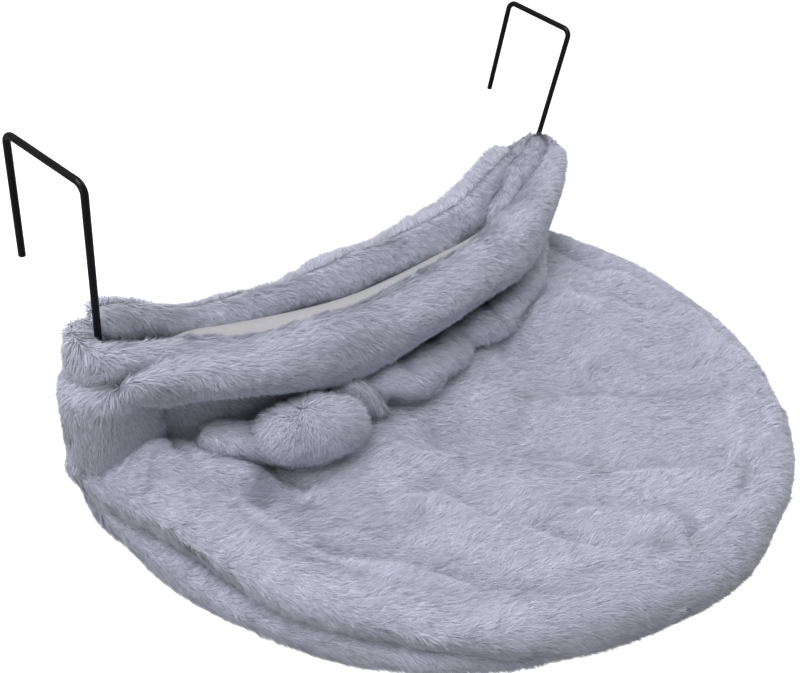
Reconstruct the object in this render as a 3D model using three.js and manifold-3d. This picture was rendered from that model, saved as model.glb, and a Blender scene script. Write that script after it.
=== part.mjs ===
// A hanging cat bed: two bent steel hooks go over the top of a panel radiator, a D-shaped steel
// loop stands out from them, and a loose plush cover hangs on the loop as a shallow hammock.
// Millimetres, +Z up, +Y to the wall. The origin is midway between the hooks, on the plane that
// the undersides of the hook bars rest on.
import * as THREE from 'three';
import { mergeVertices } from 'three/addons/utils/BufferGeometryUtils.js';
import Module from 'manifold-3d';

const wasm = await Module();
wasm.setup();

// Steel frame
const wireDiameter = 5;
const bendRadius = 7;
const hookSpan = 523;
const hookToeOut = 5;
const hookBarLength = 76;
const backLegLength = 93;
const frontLegLength = 233;
const loopWidth = 515;
const loopStraight = 116;
const loopReach = 379;
const stubLength = 42;
const rodEndGap = 1;
const sleeveLength = 60;
const sleeveWall = 1.2;
const spreaderRise = 25;
const collarLength = 14;
const collarWall = 1.5;
const riseDegrees = 4.1;
const sideDriftShare = 0.072;

// Clearances
const wireClearance = 0.3;
const seamGap = 0.5;
const restGap = 0.8;
const bandSideGap = 1.5;
const cutOverrun = 20;

// Plush cover
const plushThickness = 12;
const rimWidth = 44;
const rimHeight = 34;
const rimTail = 22;
const rimSwell = 3;
const rimSwellCount = 7;
const endRound = 16;
const panelEdgeRise = 6;
const panelSag = 38;
const panelSagRun = 125;
const bellyDrop = 32;
const bellyRun = 90;
const swagDrop = 7;
const swagCount = 9;

// Back band with the mouth of the cover
const rearHemTopMiddle = 84;
const rearHemTopRise = 38;
const rearHemDepth = 22;
const rearHemHeight = 38;
const rearHemBow = 11;
const rearHemSetBack = 9;
const rollDiameter = 54;
const rollEndDiameter = 42;
const rollReachMiddle = 84;
const rollReachDrop = 52;
const rollRiseMiddle = 65;
const rollRiseGain = 36;
const liningThickness = 3;
const liningInset = 14;
const liningCrown = 5;
const liningDrop = 4;
const endWall = 14;
const endOverhang = 24.5;
const endRearFace = 12;
const endFrontFace = 34;
const endTopRear = 119;
const endTopFront = 110;
const endTopDraw = 10;

// Gathers in front of the band
const ruffleDepth = 44;
const ruffleHeight = 36;
const ruffleStartShare = -0.41;
const ruffleFinishShare = 0.906;
const rufflePleat = 3;
const rufflePleatCount = 5;
const knobWidth = 92;
const knobDepth = 40;
const knobHeight = 38;
const knobPlaceShare = -0.641;
const knobPleat = 3;
const knobPleatCount = 5;

// Counts of facets
const wireSides = 12;
const bendSteps = 5;
const loopSteps = 30;
const rimSides = 12;
const rimSteps = 34;
const boreSides = 8;
const hemSteps = 26;
const hemSides = 10;
const rollSteps = 30;
const rollSides = 14;
const sleeveSides = 16;
const sleepingColumns = 28;
const sleepingRows = 20;
const underColumns = 24;
const underRows = 14;
const bandRows = 3;
const rearBandColumns = 14;
const frontBandColumns = 20;
const liningColumns = 20;
const liningRows = 5;
const endColumns = 14;
const endRows = 4;
const ruffleSteps = 26;
const ruffleSides = 10;
const knobSteps = 10;
const knobSides = 12;

// Powers of the curves: a higher one keeps the middle flatter and turns later
const rollReachPower = 2.2;
const hemReachPower = 2;
const lipRisePower = 3;
const rollTaperPower = 4;
const sagPower = 0.9;
const bellyPower = 0.8;
const swagPower = 4;
const knobSwellPower = 0.8;

// Shares and rates of the soft ends
const closedEndShare = 0.3;
const rimSwellStartShare = 0.5;
const foldRimFadeRate = 10;
const foldEndShare = 0.15;
const ruffleThinShare = 0.35;
const ruffleTaperRate = 3;
const knobEndShare = 0.04;
const endDrawStartShare = 0.35;
const mergeShare = 0.001;

// Main folds of the sleeping panel. Each runs along a crest, whose points are shares of half the
// loop's width and of its reach, and falls off gently to one side and steeply to the other.
const foldHeight = 14;
const foldGentleSpread = 34;
const foldSteepSpread = 16;
const foldShares = [
  { crest: [[0.52, 0.22], [0.85, 0.34], [0.9, 0.5], [0.78, 0.72]], height: 0.6 },
  { crest: [[0.4, 0.28], [0.66, 0.37], [0.74, 0.52], [0.78, 0.64], [0.66, 0.92]], height: 0.95 },
  { crest: [[-0.12, 0.34], [0.12, 0.47], [0.3, 0.64], [0.44, 0.82], [0.6, 1]], height: 1.1 },
  { crest: [[-0.6, 0.34], [-0.3, 0.5], [-0.11, 0.69], [0.02, 0.86], [0.18, 1.02]], height: 1.15 },
  { crest: [[-0.62, 0.44], [-0.48, 0.6], [-0.44, 0.77], [-0.32, 0.93]], height: 1.05 },
];

const wireRadius = wireDiameter / 2;
const rise = THREE.MathUtils.degToRad(riseDegrees);
const loopLevel = wireRadius - frontLegLength;
const loopHalf = loopWidth / 2;
const loopFront = loopReach - loopStraight;
const rimHalfWidth = rimWidth / 2;
const rimHalfHeight = rimHeight / 2;
const sleeveInner = wireRadius + wireClearance;
const sleeveOuter = sleeveInner + sleeveWall;
const boreRadius = sleeveOuter + wireClearance;
const bandHalfWidth = loopHalf - rimHalfWidth - bandSideGap;
const liningHalfWidth = bandHalfWidth - liningInset;

// Place of a point of the bed: across to the right, out from the legs, up square to the loop.
function bed(across, out, up) {
  const drift = sideDriftShare * Math.max(out, 0);
  return new THREE.Vector3(
    across + drift,
    -hookBarLength / 2 - out * Math.cos(rise) + up * Math.sin(rise),
    loopLevel + out * Math.sin(rise) + up * Math.cos(rise),
  );
}

function smooth(value) {
  const t = THREE.MathUtils.clamp(value, 0, 1);
  return t * t * (3 - 2 * t);
}

// A wire's route as stops, each a place and a heading, so that its rings sit only there
class WirePath extends THREE.Curve {
  constructor(stops) {
    super();
    this.stops = stops;
  }

  getUtoTmapping(share) {
    return share;
  }

  getPoint(t, target = new THREE.Vector3()) {
    const scaled = t * (this.stops.length - 1);
    const index = Math.min(Math.floor(scaled), this.stops.length - 2);
    return target.lerpVectors(this.stops[index].place, this.stops[index + 1].place, scaled - index);
  }

  getTangent(t, target = new THREE.Vector3()) {
    return target.copy(this.stops[Math.round(t * (this.stops.length - 1))].heading);
  }
}

// Straight runs between corners, with every corner turned at the given radius
function roundedStops(corners, radius) {
  const stops = [];
  const first = new THREE.Vector3().subVectors(corners[1], corners[0]).normalize();
  stops.push({ place: corners[0], heading: first });
  for (let i = 1; i < corners.length - 1; i += 1) {
    const into = new THREE.Vector3().subVectors(corners[i], corners[i - 1]).normalize();
    const outOf = new THREE.Vector3().subVectors(corners[i + 1], corners[i]).normalize();
    const turn = into.angleTo(outOf);
    const start = corners[i].clone().addScaledVector(into, -radius * Math.tan(turn / 2));
    const axis = new THREE.Vector3().crossVectors(into, outOf).normalize();
    const spoke = new THREE.Vector3().crossVectors(into, axis);
    const centre = start.clone().addScaledVector(spoke, -radius);
    for (let step = 0; step <= bendSteps; step += 1) {
      const angle = (turn * step) / bendSteps;
      const place = spoke.clone().applyAxisAngle(axis, angle).multiplyScalar(radius).add(centre);
      stops.push({ place, heading: into.clone().applyAxisAngle(axis, angle) });
    }
  }
  const end = corners[corners.length - 1];
  const last = new THREE.Vector3().subVectors(end, corners[corners.length - 2]).normalize();
  stops.push({ place: end, heading: last });
  return stops;
}

function stopsThrough(places) {
  return places.map((place, i) => {
    const before = places[Math.max(i - 1, 0)];
    const after = places[Math.min(i + 1, places.length - 1)];
    return { place, heading: new THREE.Vector3().subVectors(after, before).normalize() };
  });
}

// A regular outline whose flats lie at the given distance from its middle
function flatsOutline(kind, sides, flatRadius, turn) {
  const corner = flatRadius / Math.cos(Math.PI / sides);
  const points = [];
  for (let i = 0; i < sides; i += 1) {
    const angle = turn + ((i + 0.5) * 2 * Math.PI) / sides;
    points.push(new THREE.Vector2(corner * Math.cos(angle), corner * Math.sin(angle)));
  }
  return new kind(points);
}

function wireGeometry(stops, sides, radius, turn) {
  const outline = flatsOutline(THREE.Shape, sides, radius, turn);
  return new THREE.ExtrudeGeometry(outline, { steps: stops.length - 1, extrudePath: new WirePath(stops) });
}

function prismBetween(outline, from, to) {
  const along = new THREE.Vector3().subVectors(to, from);
  const geometry = new THREE.ExtrudeGeometry(outline, { depth: along.length(), bevelEnabled: false });
  const upright = new THREE.Vector3(0, 0, 1);
  geometry.applyQuaternion(new THREE.Quaternion().setFromUnitVectors(upright, along.normalize()));
  geometry.translate(from.x, from.y, from.z);
  return geometry;
}

function geometryFrom(places, faces) {
  const geometry = new THREE.BufferGeometry().setFromPoints(places);
  geometry.setIndex(faces.flat());
  return geometry;
}

// Turns a closed mesh right side out, judged by its volume
function facingOut(geometry) {
  const places = geometry.getAttribute('position');
  const index = geometry.getIndex().array;
  const a = new THREE.Vector3();
  const b = new THREE.Vector3();
  const c = new THREE.Vector3();
  let volume = 0;
  for (let i = 0; i < index.length; i += 3) {
    a.fromBufferAttribute(places, index[i]);
    b.fromBufferAttribute(places, index[i + 1]);
    c.fromBufferAttribute(places, index[i + 2]);
    volume += a.dot(b.cross(c));
  }
  if (volume < 0) {
    geometry.setIndex(Array.from(index).reverse());
  }
  return geometry;
}

// A closed body through rings of equally many places, each end closed onto its middle
function loft(rings) {
  const sides = rings[0].length;
  const places = rings.flat();
  const faces = [];
  for (let ring = 0; ring + 1 < rings.length; ring += 1) {
    for (let side = 0; side < sides; side += 1) {
      const a = ring * sides + side;
      const b = ring * sides + ((side + 1) % sides);
      faces.push([a, b, b + sides], [a, b + sides, a + sides]);
    }
  }
  for (const [ring, turn] of [[0, 1], [rings.length - 1, 0]]) {
    const middle = new THREE.Vector3();
    rings[ring].forEach((place) => middle.addScaledVector(place, 1 / sides));
    places.push(middle);
    for (let side = 0; side < sides; side += 1) {
      const pair = [ring * sides + side, ring * sides + ((side + 1) % sides)];
      faces.push([places.length - 1, pair[turn], pair[1 - turn]]);
    }
  }
  return facingOut(geometryFrom(places, faces));
}

// A cloth panel: a face and a back over the same grid, joined all round its edge
function panel(columns, rows, face, back) {
  const rings = [];
  for (const surface of [face, back]) {
    const grid = [];
    for (let row = 0; row <= rows; row += 1) {
      for (let column = 0; column <= columns; column += 1) {
        grid.push(surface(column / columns, row / rows));
      }
    }
    rings.push(grid);
  }
  const layer = (columns + 1) * (rows + 1);
  const at = (column, row) => row * (columns + 1) + column;
  const faces = [];
  for (let row = 0; row < rows; row += 1) {
    for (let column = 0; column < columns; column += 1) {
      const a = at(column, row);
      const b = at(column + 1, row);
      const c = at(column + 1, row + 1);
      const d = at(column, row + 1);
      faces.push([a, b, c], [a, c, d]);
      faces.push([layer + a, layer + c, layer + b], [layer + a, layer + d, layer + c]);
    }
  }
  const edge = [];
  for (let column = 0; column < columns; column += 1) edge.push(at(column, 0));
  for (let row = 0; row < rows; row += 1) edge.push(at(columns, row));
  for (let column = columns; column > 0; column -= 1) edge.push(at(column, rows));
  for (let row = rows; row > 0; row -= 1) edge.push(at(0, row));
  edge.forEach((start, i) => {
    const end = edge[(i + 1) % edge.length];
    faces.push([start, layer + start, layer + end], [start, layer + end, end]);
  });
  return facingOut(geometryFrom(rings.flat(), faces));
}

function solidOf(geometry) {
  const bare = geometry.clone();
  bare.deleteAttribute('normal');
  bare.deleteAttribute('uv');
  const merged = mergeVertices(bare, wireClearance * mergeShare);
  return new wasm.Manifold(new wasm.Mesh({
    numProp: 3,
    vertProperties: new Float32Array(merged.getAttribute('position').array),
    triVerts: new Uint32Array(merged.getIndex().array),
  }));
}

function geometryOf(solid) {
  const mesh = solid.getMesh();
  const geometry = new THREE.BufferGeometry();
  geometry.setAttribute('position', new THREE.BufferAttribute(new Float32Array(mesh.vertProperties), 3));
  geometry.setIndex(Array.from(mesh.triVerts));
  return geometry;
}

const steel = { color: 0x0c0c0e, roughness: 0.28, metalness: 0.6 };
const sleeveSteel = { color: 0x17171a, roughness: 0.35, metalness: 0.6 };
const plush = { color: 0xa9abbc, roughness: 0.95, metalness: 0 };
const deepPlush = { color: 0x8f91a2, roughness: 0.95, metalness: 0 };
const knit = { color: 0xb4b2ac, roughness: 0.9, metalness: 0 };

const model = new THREE.Group();
model.name = 'hanging_cat_bed';

function add(name, geometry, finish) {
  const mesh = new THREE.Mesh(geometry, new THREE.MeshStandardMaterial(finish));
  mesh.name = name;
  model.add(mesh);
}

// Steel frame

function legTop(side) {
  return new THREE.Vector3((side * hookSpan) / 2, -hookBarLength / 2, wireRadius);
}

function legFoot(side) {
  return bed(side * loopHalf, 0, 0);
}

function legPlace(side, share) {
  return new THREE.Vector3().lerpVectors(legFoot(side), legTop(side), share);
}

function hookRod(side) {
  const back = side * (hookSpan / 2 + hookToeOut);
  const corners = [
    new THREE.Vector3(back, hookBarLength / 2, wireRadius - backLegLength),
    new THREE.Vector3(back, hookBarLength / 2, wireRadius),
    legTop(side),
    legFoot(side),
    bed(side * loopHalf, stubLength, 0),
  ];
  const turn = Math.atan2(-side * hookToeOut, hookBarLength);
  return wireGeometry(roundedStops(corners, bendRadius), wireSides, wireRadius, turn);
}

// Share of full thickness that a soft roll keeps near its closed end
function endTaper(across, half) {
  const beyond = THREE.MathUtils.clamp((Math.abs(across) - half + endRound) / endRound, 0, 1);
  return Math.max(Math.sqrt(1 - beyond * beyond), closedEndShare);
}

// Places along the loop's centreline, from one side's start to the other's
function loopPlaces(start, steps) {
  const places = [[-loopHalf, start]];
  for (let step = 0; step <= steps; step += 1) {
    const angle = Math.PI * (1 - step / steps);
    places.push([loopHalf * Math.cos(angle), loopStraight + loopFront * Math.sin(angle)]);
  }
  places.push([loopHalf, start]);
  return places;
}

function loopRod() {
  const places = loopPlaces(stubLength + rodEndGap, loopSteps).map(([across, out]) => bed(across, out, 0));
  return wireGeometry(stopsThrough(places), wireSides, wireRadius, 0);
}

function jointSleeve(side) {
  const outline = flatsOutline(THREE.Shape, sleeveSides, sleeveOuter, 0);
  outline.holes.push(flatsOutline(THREE.Path, sleeveSides, sleeveInner, 0));
  const middle = stubLength + rodEndGap / 2;
  const from = bed(side * loopHalf, middle - sleeveLength / 2, 0);
  const to = bed(side * loopHalf, middle + sleeveLength / 2, 0);
  return prismBetween(outline, from, to);
}

// A straight bar between the legs, held to each by a collar that the leg passes through
function rearSpreaderBar() {
  const share = spreaderRise / frontLegLength;
  const collarShare = collarLength / 2 / frontLegLength;
  const overrunShare = cutOverrun / frontLegLength;
  const rod = flatsOutline(THREE.Shape, wireSides, wireRadius, 0);
  const collar = flatsOutline(THREE.Shape, wireSides, sleeveInner + collarWall, 0);
  const bore = flatsOutline(THREE.Shape, wireSides, sleeveInner, 0);
  let bar = solidOf(prismBetween(rod, legPlace(-1, share), legPlace(1, share)));
  for (const side of [-1, 1]) {
    const low = legPlace(side, share - collarShare);
    const high = legPlace(side, share + collarShare);
    bar = bar.add(solidOf(prismBetween(collar, low, high)));
  }
  for (const side of [-1, 1]) {
    const low = legPlace(side, share - collarShare - overrunShare);
    const high = legPlace(side, share + collarShare + overrunShare);
    bar = bar.subtract(solidOf(prismBetween(bore, low, high)));
  }
  return geometryOf(bar);
}

// Plush cover on the loop

// How near a place of the bed lies to the loop: 0 in the middle, 1 on an outline that stands
// inside the loop by the given margin
function nearness(across, out, margin) {
  const sideShare = across / (loopHalf - margin);
  const frontShare = Math.max(out - loopStraight, 0) / (loopFront - margin);
  return Math.min(Math.hypot(sideShare, frontShare), 1);
}

// How far a place lies from a crest, whether that is on its gentle side, and the share along it
function fromCrest(place, crest) {
  let nearest = { away: Infinity, gentle: true, travel: 0 };
  let before = 0;
  for (let i = 0; i + 1 < crest.length; i += 1) {
    const line = crest[i + 1].clone().sub(crest[i]);
    const reach = place.clone().sub(crest[i]);
    const share = THREE.MathUtils.clamp(reach.dot(line) / line.lengthSq(), 0, 1);
    const gentle = line.cross(reach) > 0;
    const away = reach.addScaledVector(line, -share).length();
    if (away < nearest.away) {
      nearest = { away, gentle, travel: before + share * line.length() };
    }
    before += line.length();
  }
  return { ...nearest, share: nearest.travel / before };
}

function foldRise(across, out) {
  const place = new THREE.Vector2(across, out);
  let total = 0;
  for (const { crest, height } of foldShares) {
    const points = crest.map(([side, front]) => new THREE.Vector2(side * loopHalf, front * loopReach));
    const { away, gentle, share } = fromCrest(place, points);
    const spread = gentle ? foldGentleSpread : foldSteepSpread;
    const fade = smooth(share / foldEndShare) * smooth((1 - share) / foldEndShare);
    total += foldHeight * height * Math.exp(-((away / spread) ** 2)) * fade;
  }
  return total;
}

// Route of the front roll and of the rear hem, by the distance from the middle
function rollOut(across) {
  return rollReachMiddle - rollReachDrop * Math.abs(across / loopHalf) ** rollReachPower;
}

function rollUp(across) {
  return rollRiseMiddle + rollRiseGain * Math.abs(across / loopHalf) ** lipRisePower;
}

function rollRadius(across) {
  const share = Math.abs(across / bandHalfWidth) ** rollTaperPower;
  return THREE.MathUtils.lerp(rollDiameter, rollEndDiameter, share) / 2;
}

function hemOut(across) {
  return rearHemBow * (1 - Math.abs(across / loopHalf) ** hemReachPower) - rearHemSetBack;
}

function hemTop(across) {
  return rearHemTopMiddle + rearHemTopRise * Math.abs(across / loopHalf) ** lipRisePower;
}

function sleepingHeight(across, out) {
  const margin = rimHalfWidth + seamGap;
  const near = nearness(across, out, margin);
  const fromBand = smooth((out - rollOut(across)) / panelSagRun);
  const inside = smooth((1 - near) * foldRimFadeRate);
  const sag = panelSag * (1 - near * near) ** sagPower * fromBand;
  return panelEdgeRise - sag + foldRise(across, out) * inside * fromBand;
}

// The route of the frame through the cover: down one leg, round the loop and up the other leg
function boreStops() {
  const legShare = (rimHeight + cutOverrun) / frontLegLength;
  const down = [legPlace(-1, legShare), legFoot(-1), bed(-loopHalf, stubLength, 0)];
  const upward = [bed(loopHalf, stubLength, 0), legFoot(1), legPlace(1, legShare)];
  const around = loopPlaces(stubLength + rodEndGap, rimSteps).map(([across, out]) => bed(across, out, 0));
  return [...roundedStops(down, bendRadius), ...stopsThrough(around), ...roundedStops(upward, bendRadius)];
}

function rimSleeve() {
  const route = loopPlaces(-rimTail, rimSteps);
  const tailOuts = [-rimTail, endRound - rimTail, (loopStraight - rimTail) / 2];
  const left = tailOuts.map((out) => [-loopHalf, out]);
  const right = tailOuts.map((out) => [loopHalf, out]).reverse();
  const stops = [...left, ...route.slice(1, -1), ...right];
  const rings = stops.map(([across, out], i) => {
    const [beforeAcross, beforeOut] = stops[Math.max(i - 1, 0)];
    const [afterAcross, afterOut] = stops[Math.min(i + 1, stops.length - 1)];
    const aside = new THREE.Vector2(beforeOut - afterOut, afterAcross - beforeAcross).normalize();
    const taper = endTaper(out > 0 ? 0 : -out, rimTail);
    const loose = rimSwell * smooth(out / loopStraight - rimSwellStartShare);
    const wave = loose * Math.sin((2 * Math.PI * rimSwellCount * i) / stops.length);
    const ring = [];
    for (let side = 0; side < rimSides; side += 1) {
      const angle = (side * 2 * Math.PI) / rimSides;
      const away = (rimHalfWidth + wave * Math.max(Math.cos(angle), 0)) * taper * Math.cos(angle);
      const up = (rimHalfHeight + wave * Math.max(Math.sin(angle), 0)) * taper * Math.sin(angle);
      ring.push(bed(across + aside.x * away, out + aside.y * away, up));
    }
    return ring;
  });
  const bore = solidOf(wireGeometry(boreStops(), boreSides, boreRadius, 0));
  return geometryOf(solidOf(loft(rings)).subtract(bore));
}

function sleepingPanel() {
  const margin = rimHalfWidth + seamGap;
  const place = (column, row) => {
    const across = (loopHalf - margin) * Math.sin((column - 0.5) * Math.PI);
    const share = across / (loopHalf - margin);
    const front = loopStraight + (loopFront - margin) * Math.sqrt(Math.max(1 - share * share, 0));
    const rear = rollOut(across) + seamGap;
    return [across, rear + (front - rear) * row];
  };
  const face = (column, row) => {
    const [across, out] = place(column, row);
    return bed(across, out, sleepingHeight(across, out));
  };
  const back = (column, row) => {
    const [across, out] = place(column, row);
    return bed(across, out, sleepingHeight(across, out) - plushThickness);
  };
  return panel(sleepingColumns, sleepingRows, face, back);
}

function underPanel() {
  const margin = -rimHalfWidth + seamGap;
  const rear = -rimTail + rimHalfHeight / 2;
  const place = (column, row) => {
    const across = (loopHalf - margin) * Math.sin((column - 0.5) * Math.PI);
    const share = across / (loopHalf - margin);
    const front = loopStraight + (loopFront - margin) * Math.sqrt(Math.max(1 - share * share, 0));
    return [across, rear + (front - rear) * row];
  };
  const height = (across, out) => {
    const near = nearness(across, out, margin);
    const drop = bellyDrop * (1 - near * near) ** bellyPower * smooth((out - rear) / bellyRun);
    return -rimHalfHeight - seamGap - drop;
  };
  const face = (column, row) => {
    const [across, out] = place(column, row);
    return bed(across, out, height(across, out));
  };
  const back = (column, row) => {
    const [across, out] = place(column, row);
    const near = nearness(across, out, margin);
    const turn = Math.atan2(out - loopStraight / 2, across);
    const swag = (swagDrop / 2) * near ** swagPower * (1 + Math.cos(2 * swagCount * turn));
    return bed(across, out, height(across, out) - plushThickness - swag);
  };
  return panel(underColumns, underRows, face, back);
}

// Back band, with the cover's mouth between the rear hem and the front roll

function rearBand() {
  const front = -wireRadius + seamGap;
  const place = (column, row, out) => {
    const across = bandHalfWidth * (2 * column - 1);
    const low = -rimHalfHeight;
    const high = hemTop(across) - rearHemHeight - restGap;
    return bed(across, out, low + (high - low) * row);
  };
  const face = (column, row) => place(column, row, front);
  const back = (column, row) => place(column, row, front - plushThickness);
  return panel(rearBandColumns, bandRows, face, back);
}

function rearHem() {
  const rings = [];
  for (let step = 0; step <= hemSteps; step += 1) {
    const across = -bandHalfWidth * Math.cos((step / hemSteps) * Math.PI);
    const middle = hemTop(across) - rearHemHeight / 2;
    const taper = endTaper(across, bandHalfWidth) / 2;
    const ring = [];
    for (let side = 0; side < hemSides; side += 1) {
      const angle = (side * 2 * Math.PI) / hemSides;
      const out = hemOut(across) + rearHemDepth * taper * Math.cos(angle);
      ring.push(bed(across, out, middle + rearHemHeight * taper * Math.sin(angle)));
    }
    rings.push(ring);
  }
  return loft(rings);
}

function frontBand() {
  const place = (column, row, set) => {
    const across = bandHalfWidth * (2 * column - 1);
    const low = panelEdgeRise - plushThickness;
    const high = rollUp(across) - rollRadius(across) - restGap;
    return bed(across, rollOut(across) - set, low + (high - low) * row);
  };
  const face = (column, row) => place(column, row, 0);
  const back = (column, row) => place(column, row, plushThickness);
  return panel(frontBandColumns, bandRows, face, back);
}

function frontHemRoll() {
  const rings = [];
  for (let step = 0; step <= rollSteps; step += 1) {
    const across = -bandHalfWidth * Math.cos((step / rollSteps) * Math.PI);
    const radius = rollRadius(across) * endTaper(across, bandHalfWidth);
    const ring = [];
    for (let side = 0; side < rollSides; side += 1) {
      const angle = (side * 2 * Math.PI) / rollSides;
      const out = rollOut(across) + radius * Math.cos(angle);
      ring.push(bed(across, out, rollUp(across) + radius * Math.sin(angle)));
    }
    rings.push(ring);
  }
  return loft(rings);
}

// The knit strip that closes the mouth between the rear hem and the back of the front roll
function mouthLining() {
  const place = (column, row, depth) => {
    const across = liningHalfWidth * (2 * column - 1);
    const rearOut = hemOut(across) + wireDiameter;
    const rearUp = hemTop(across) - rearHemHeight - liningDrop;
    const frontOut = rollOut(across) - rollRadius(across) - restGap;
    const frontUp = rollUp(across) - liningDrop;
    const crown = liningCrown * 4 * row * (1 - row);
    const out = rearOut + (frontOut - rearOut) * row;
    return bed(across, out, rearUp + (frontUp - rearUp) * row + crown - depth);
  };
  const face = (column, row) => place(column, row, 0);
  const back = (column, row) => place(column, row, liningThickness);
  return panel(liningColumns, liningRows, face, back);
}

// The cover's wall round the outside of a leg, open towards the middle of the bed. It leans as
// its leg does and draws in to it at the top, while its two upright edges stay at the band.
function bandEnd(side) {
  const middle = (endFrontFace - endRearFace) / 2;
  const halfDepth = (endFrontFace + endRearFace) / 2;
  const edge = bandHalfWidth + seamGap;
  const place = (column, row, set) => {
    const straight = loopHalf - edge;
    const overhang = endOverhang - endTopDraw * smooth((row - endDrawStartShare) / (1 - endDrawStartShare));
    const arc = (Math.PI * (endOverhang + halfDepth)) / 2;
    const travel = column * (2 * straight + arc);
    let across = 0;
    let out = 0;
    if (travel < straight) {
      across = edge + travel;
      out = middle - halfDepth - set;
    } else if (travel > straight + arc) {
      across = loopHalf - (travel - straight - arc);
      out = middle + halfDepth + set;
    } else {
      const angle = (Math.PI * (travel - straight)) / arc - Math.PI / 2;
      across = loopHalf + (overhang + set) * Math.cos(angle);
      out = middle + (halfDepth + set) * Math.sin(angle);
    }
    const low = rimHalfHeight + seamGap;
    const rearShare = (middle + halfDepth - out) / (2 * halfDepth);
    const high = THREE.MathUtils.lerp(endTopFront, endTopRear, rearShare);
    const up = low + (high - low) * row;
    const lean = ((hookSpan / 2 - loopHalf) * up) / frontLegLength;
    const share = THREE.MathUtils.clamp((across - edge) / straight, 0, 1);
    return bed(side * (across + lean * share), out, up);
  };
  const face = (column, row) => place(column, row, endWall / 2);
  const back = (column, row) => place(column, row, -endWall / 2);
  return panel(endColumns, endRows, face, back);
}

// Gathers

function gatherRuffle() {
  const rings = [];
  const start = ruffleStartShare * bandHalfWidth;
  const finish = ruffleFinishShare * bandHalfWidth;
  for (let step = 0; step <= ruffleSteps; step += 1) {
    const share = step / ruffleSteps;
    const across = THREE.MathUtils.lerp(start, finish, share);
    const taper = THREE.MathUtils.lerp(ruffleThinShare, 1, smooth((1 - share) * ruffleTaperRate));
    const pleat = rufflePleat * Math.sin(2 * Math.PI * rufflePleatCount * share);
    const middle = rollOut(across) + seamGap + (ruffleDepth / 2) * taper;
    const ring = [];
    for (let side = 0; side < ruffleSides; side += 1) {
      const angle = (side * 2 * Math.PI) / ruffleSides;
      const reach = (ruffleDepth / 2) * taper + Math.max(Math.cos(angle), 0) * pleat;
      const out = middle + reach * Math.cos(angle);
      const floor = sleepingHeight(across, out) + restGap;
      const up = floor + (ruffleHeight / 2) * taper * (1 + Math.sin(angle));
      ring.push(bed(across, out, up));
    }
    rings.push(ring);
  }
  return loft(rings);
}

function gatherKnob() {
  const rings = [];
  for (let step = 0; step <= knobSteps; step += 1) {
    const turn = Math.PI * THREE.MathUtils.lerp(knobEndShare, 1 - knobEndShare, step / knobSteps);
    const across = knobPlaceShare * bandHalfWidth - (knobWidth / 2) * Math.cos(turn);
    const swell = Math.sin(turn) ** knobSwellPower;
    const middle = rollOut(across) + restGap + knobDepth / 2;
    const ring = [];
    for (let side = 0; side < knobSides; side += 1) {
      const angle = (side * 2 * Math.PI) / knobSides;
      const pleat = knobPleat * Math.cos(knobPleatCount * turn * 2) * swell * Math.max(Math.sin(angle), 0);
      const out = middle + (knobDepth / 2) * swell * Math.cos(angle);
      const floor = sleepingHeight(across, out) + restGap;
      const up = floor + (knobHeight / 2) * (1 + swell * Math.sin(angle)) + pleat;
      ring.push(bed(across, out, up));
    }
    rings.push(ring);
  }
  return loft(rings);
}

for (const [name, side] of [['left', -1], ['right', 1]]) {
  add(`hook_rod_${name}`, hookRod(side), steel);
  add(`joint_sleeve_${name}`, jointSleeve(side), sleeveSteel);
  add(`band_end_${name}`, bandEnd(side), plush);
}
add('loop_rod', loopRod(), steel);
add('rear_spreader_bar', rearSpreaderBar(), steel);
add('rim_sleeve', rimSleeve(), plush);
add('sleeping_panel', sleepingPanel(), plush);
add('under_panel', underPanel(), deepPlush);
add('rear_band', rearBand(), deepPlush);
add('rear_hem', rearHem(), plush);
add('front_band', frontBand(), deepPlush);
add('front_hem_roll', frontHemRoll(), plush);
add('mouth_lining', mouthLining(), knit);
add('gather_ruffle', gatherRuffle(), plush);
add('gather_knob', gatherKnob(), plush);

export default model;
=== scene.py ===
"""A hanging cat bed of deep-pile plush on a steel wire frame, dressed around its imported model.

Every soft part is a backing skin with a pile of tapered hairs combed over it. Metres, +Z up.
"""

import math

import bmesh
import bpy
import numpy as np
from mathutils import Matrix, Vector


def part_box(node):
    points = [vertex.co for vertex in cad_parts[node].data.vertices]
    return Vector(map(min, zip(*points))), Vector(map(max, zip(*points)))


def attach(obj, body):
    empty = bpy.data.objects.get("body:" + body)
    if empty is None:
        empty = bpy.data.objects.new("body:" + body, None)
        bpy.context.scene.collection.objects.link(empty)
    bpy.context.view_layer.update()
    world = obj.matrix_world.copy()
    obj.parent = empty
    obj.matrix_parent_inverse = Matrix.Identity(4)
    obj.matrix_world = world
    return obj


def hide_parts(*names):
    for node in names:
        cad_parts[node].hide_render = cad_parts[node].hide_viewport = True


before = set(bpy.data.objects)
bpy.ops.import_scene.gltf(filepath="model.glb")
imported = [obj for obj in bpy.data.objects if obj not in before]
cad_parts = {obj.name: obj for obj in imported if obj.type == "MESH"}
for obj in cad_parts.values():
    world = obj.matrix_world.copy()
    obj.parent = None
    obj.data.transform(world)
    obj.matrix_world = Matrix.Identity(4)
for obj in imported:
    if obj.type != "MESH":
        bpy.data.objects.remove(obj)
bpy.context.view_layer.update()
ROOT = "root"

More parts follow.
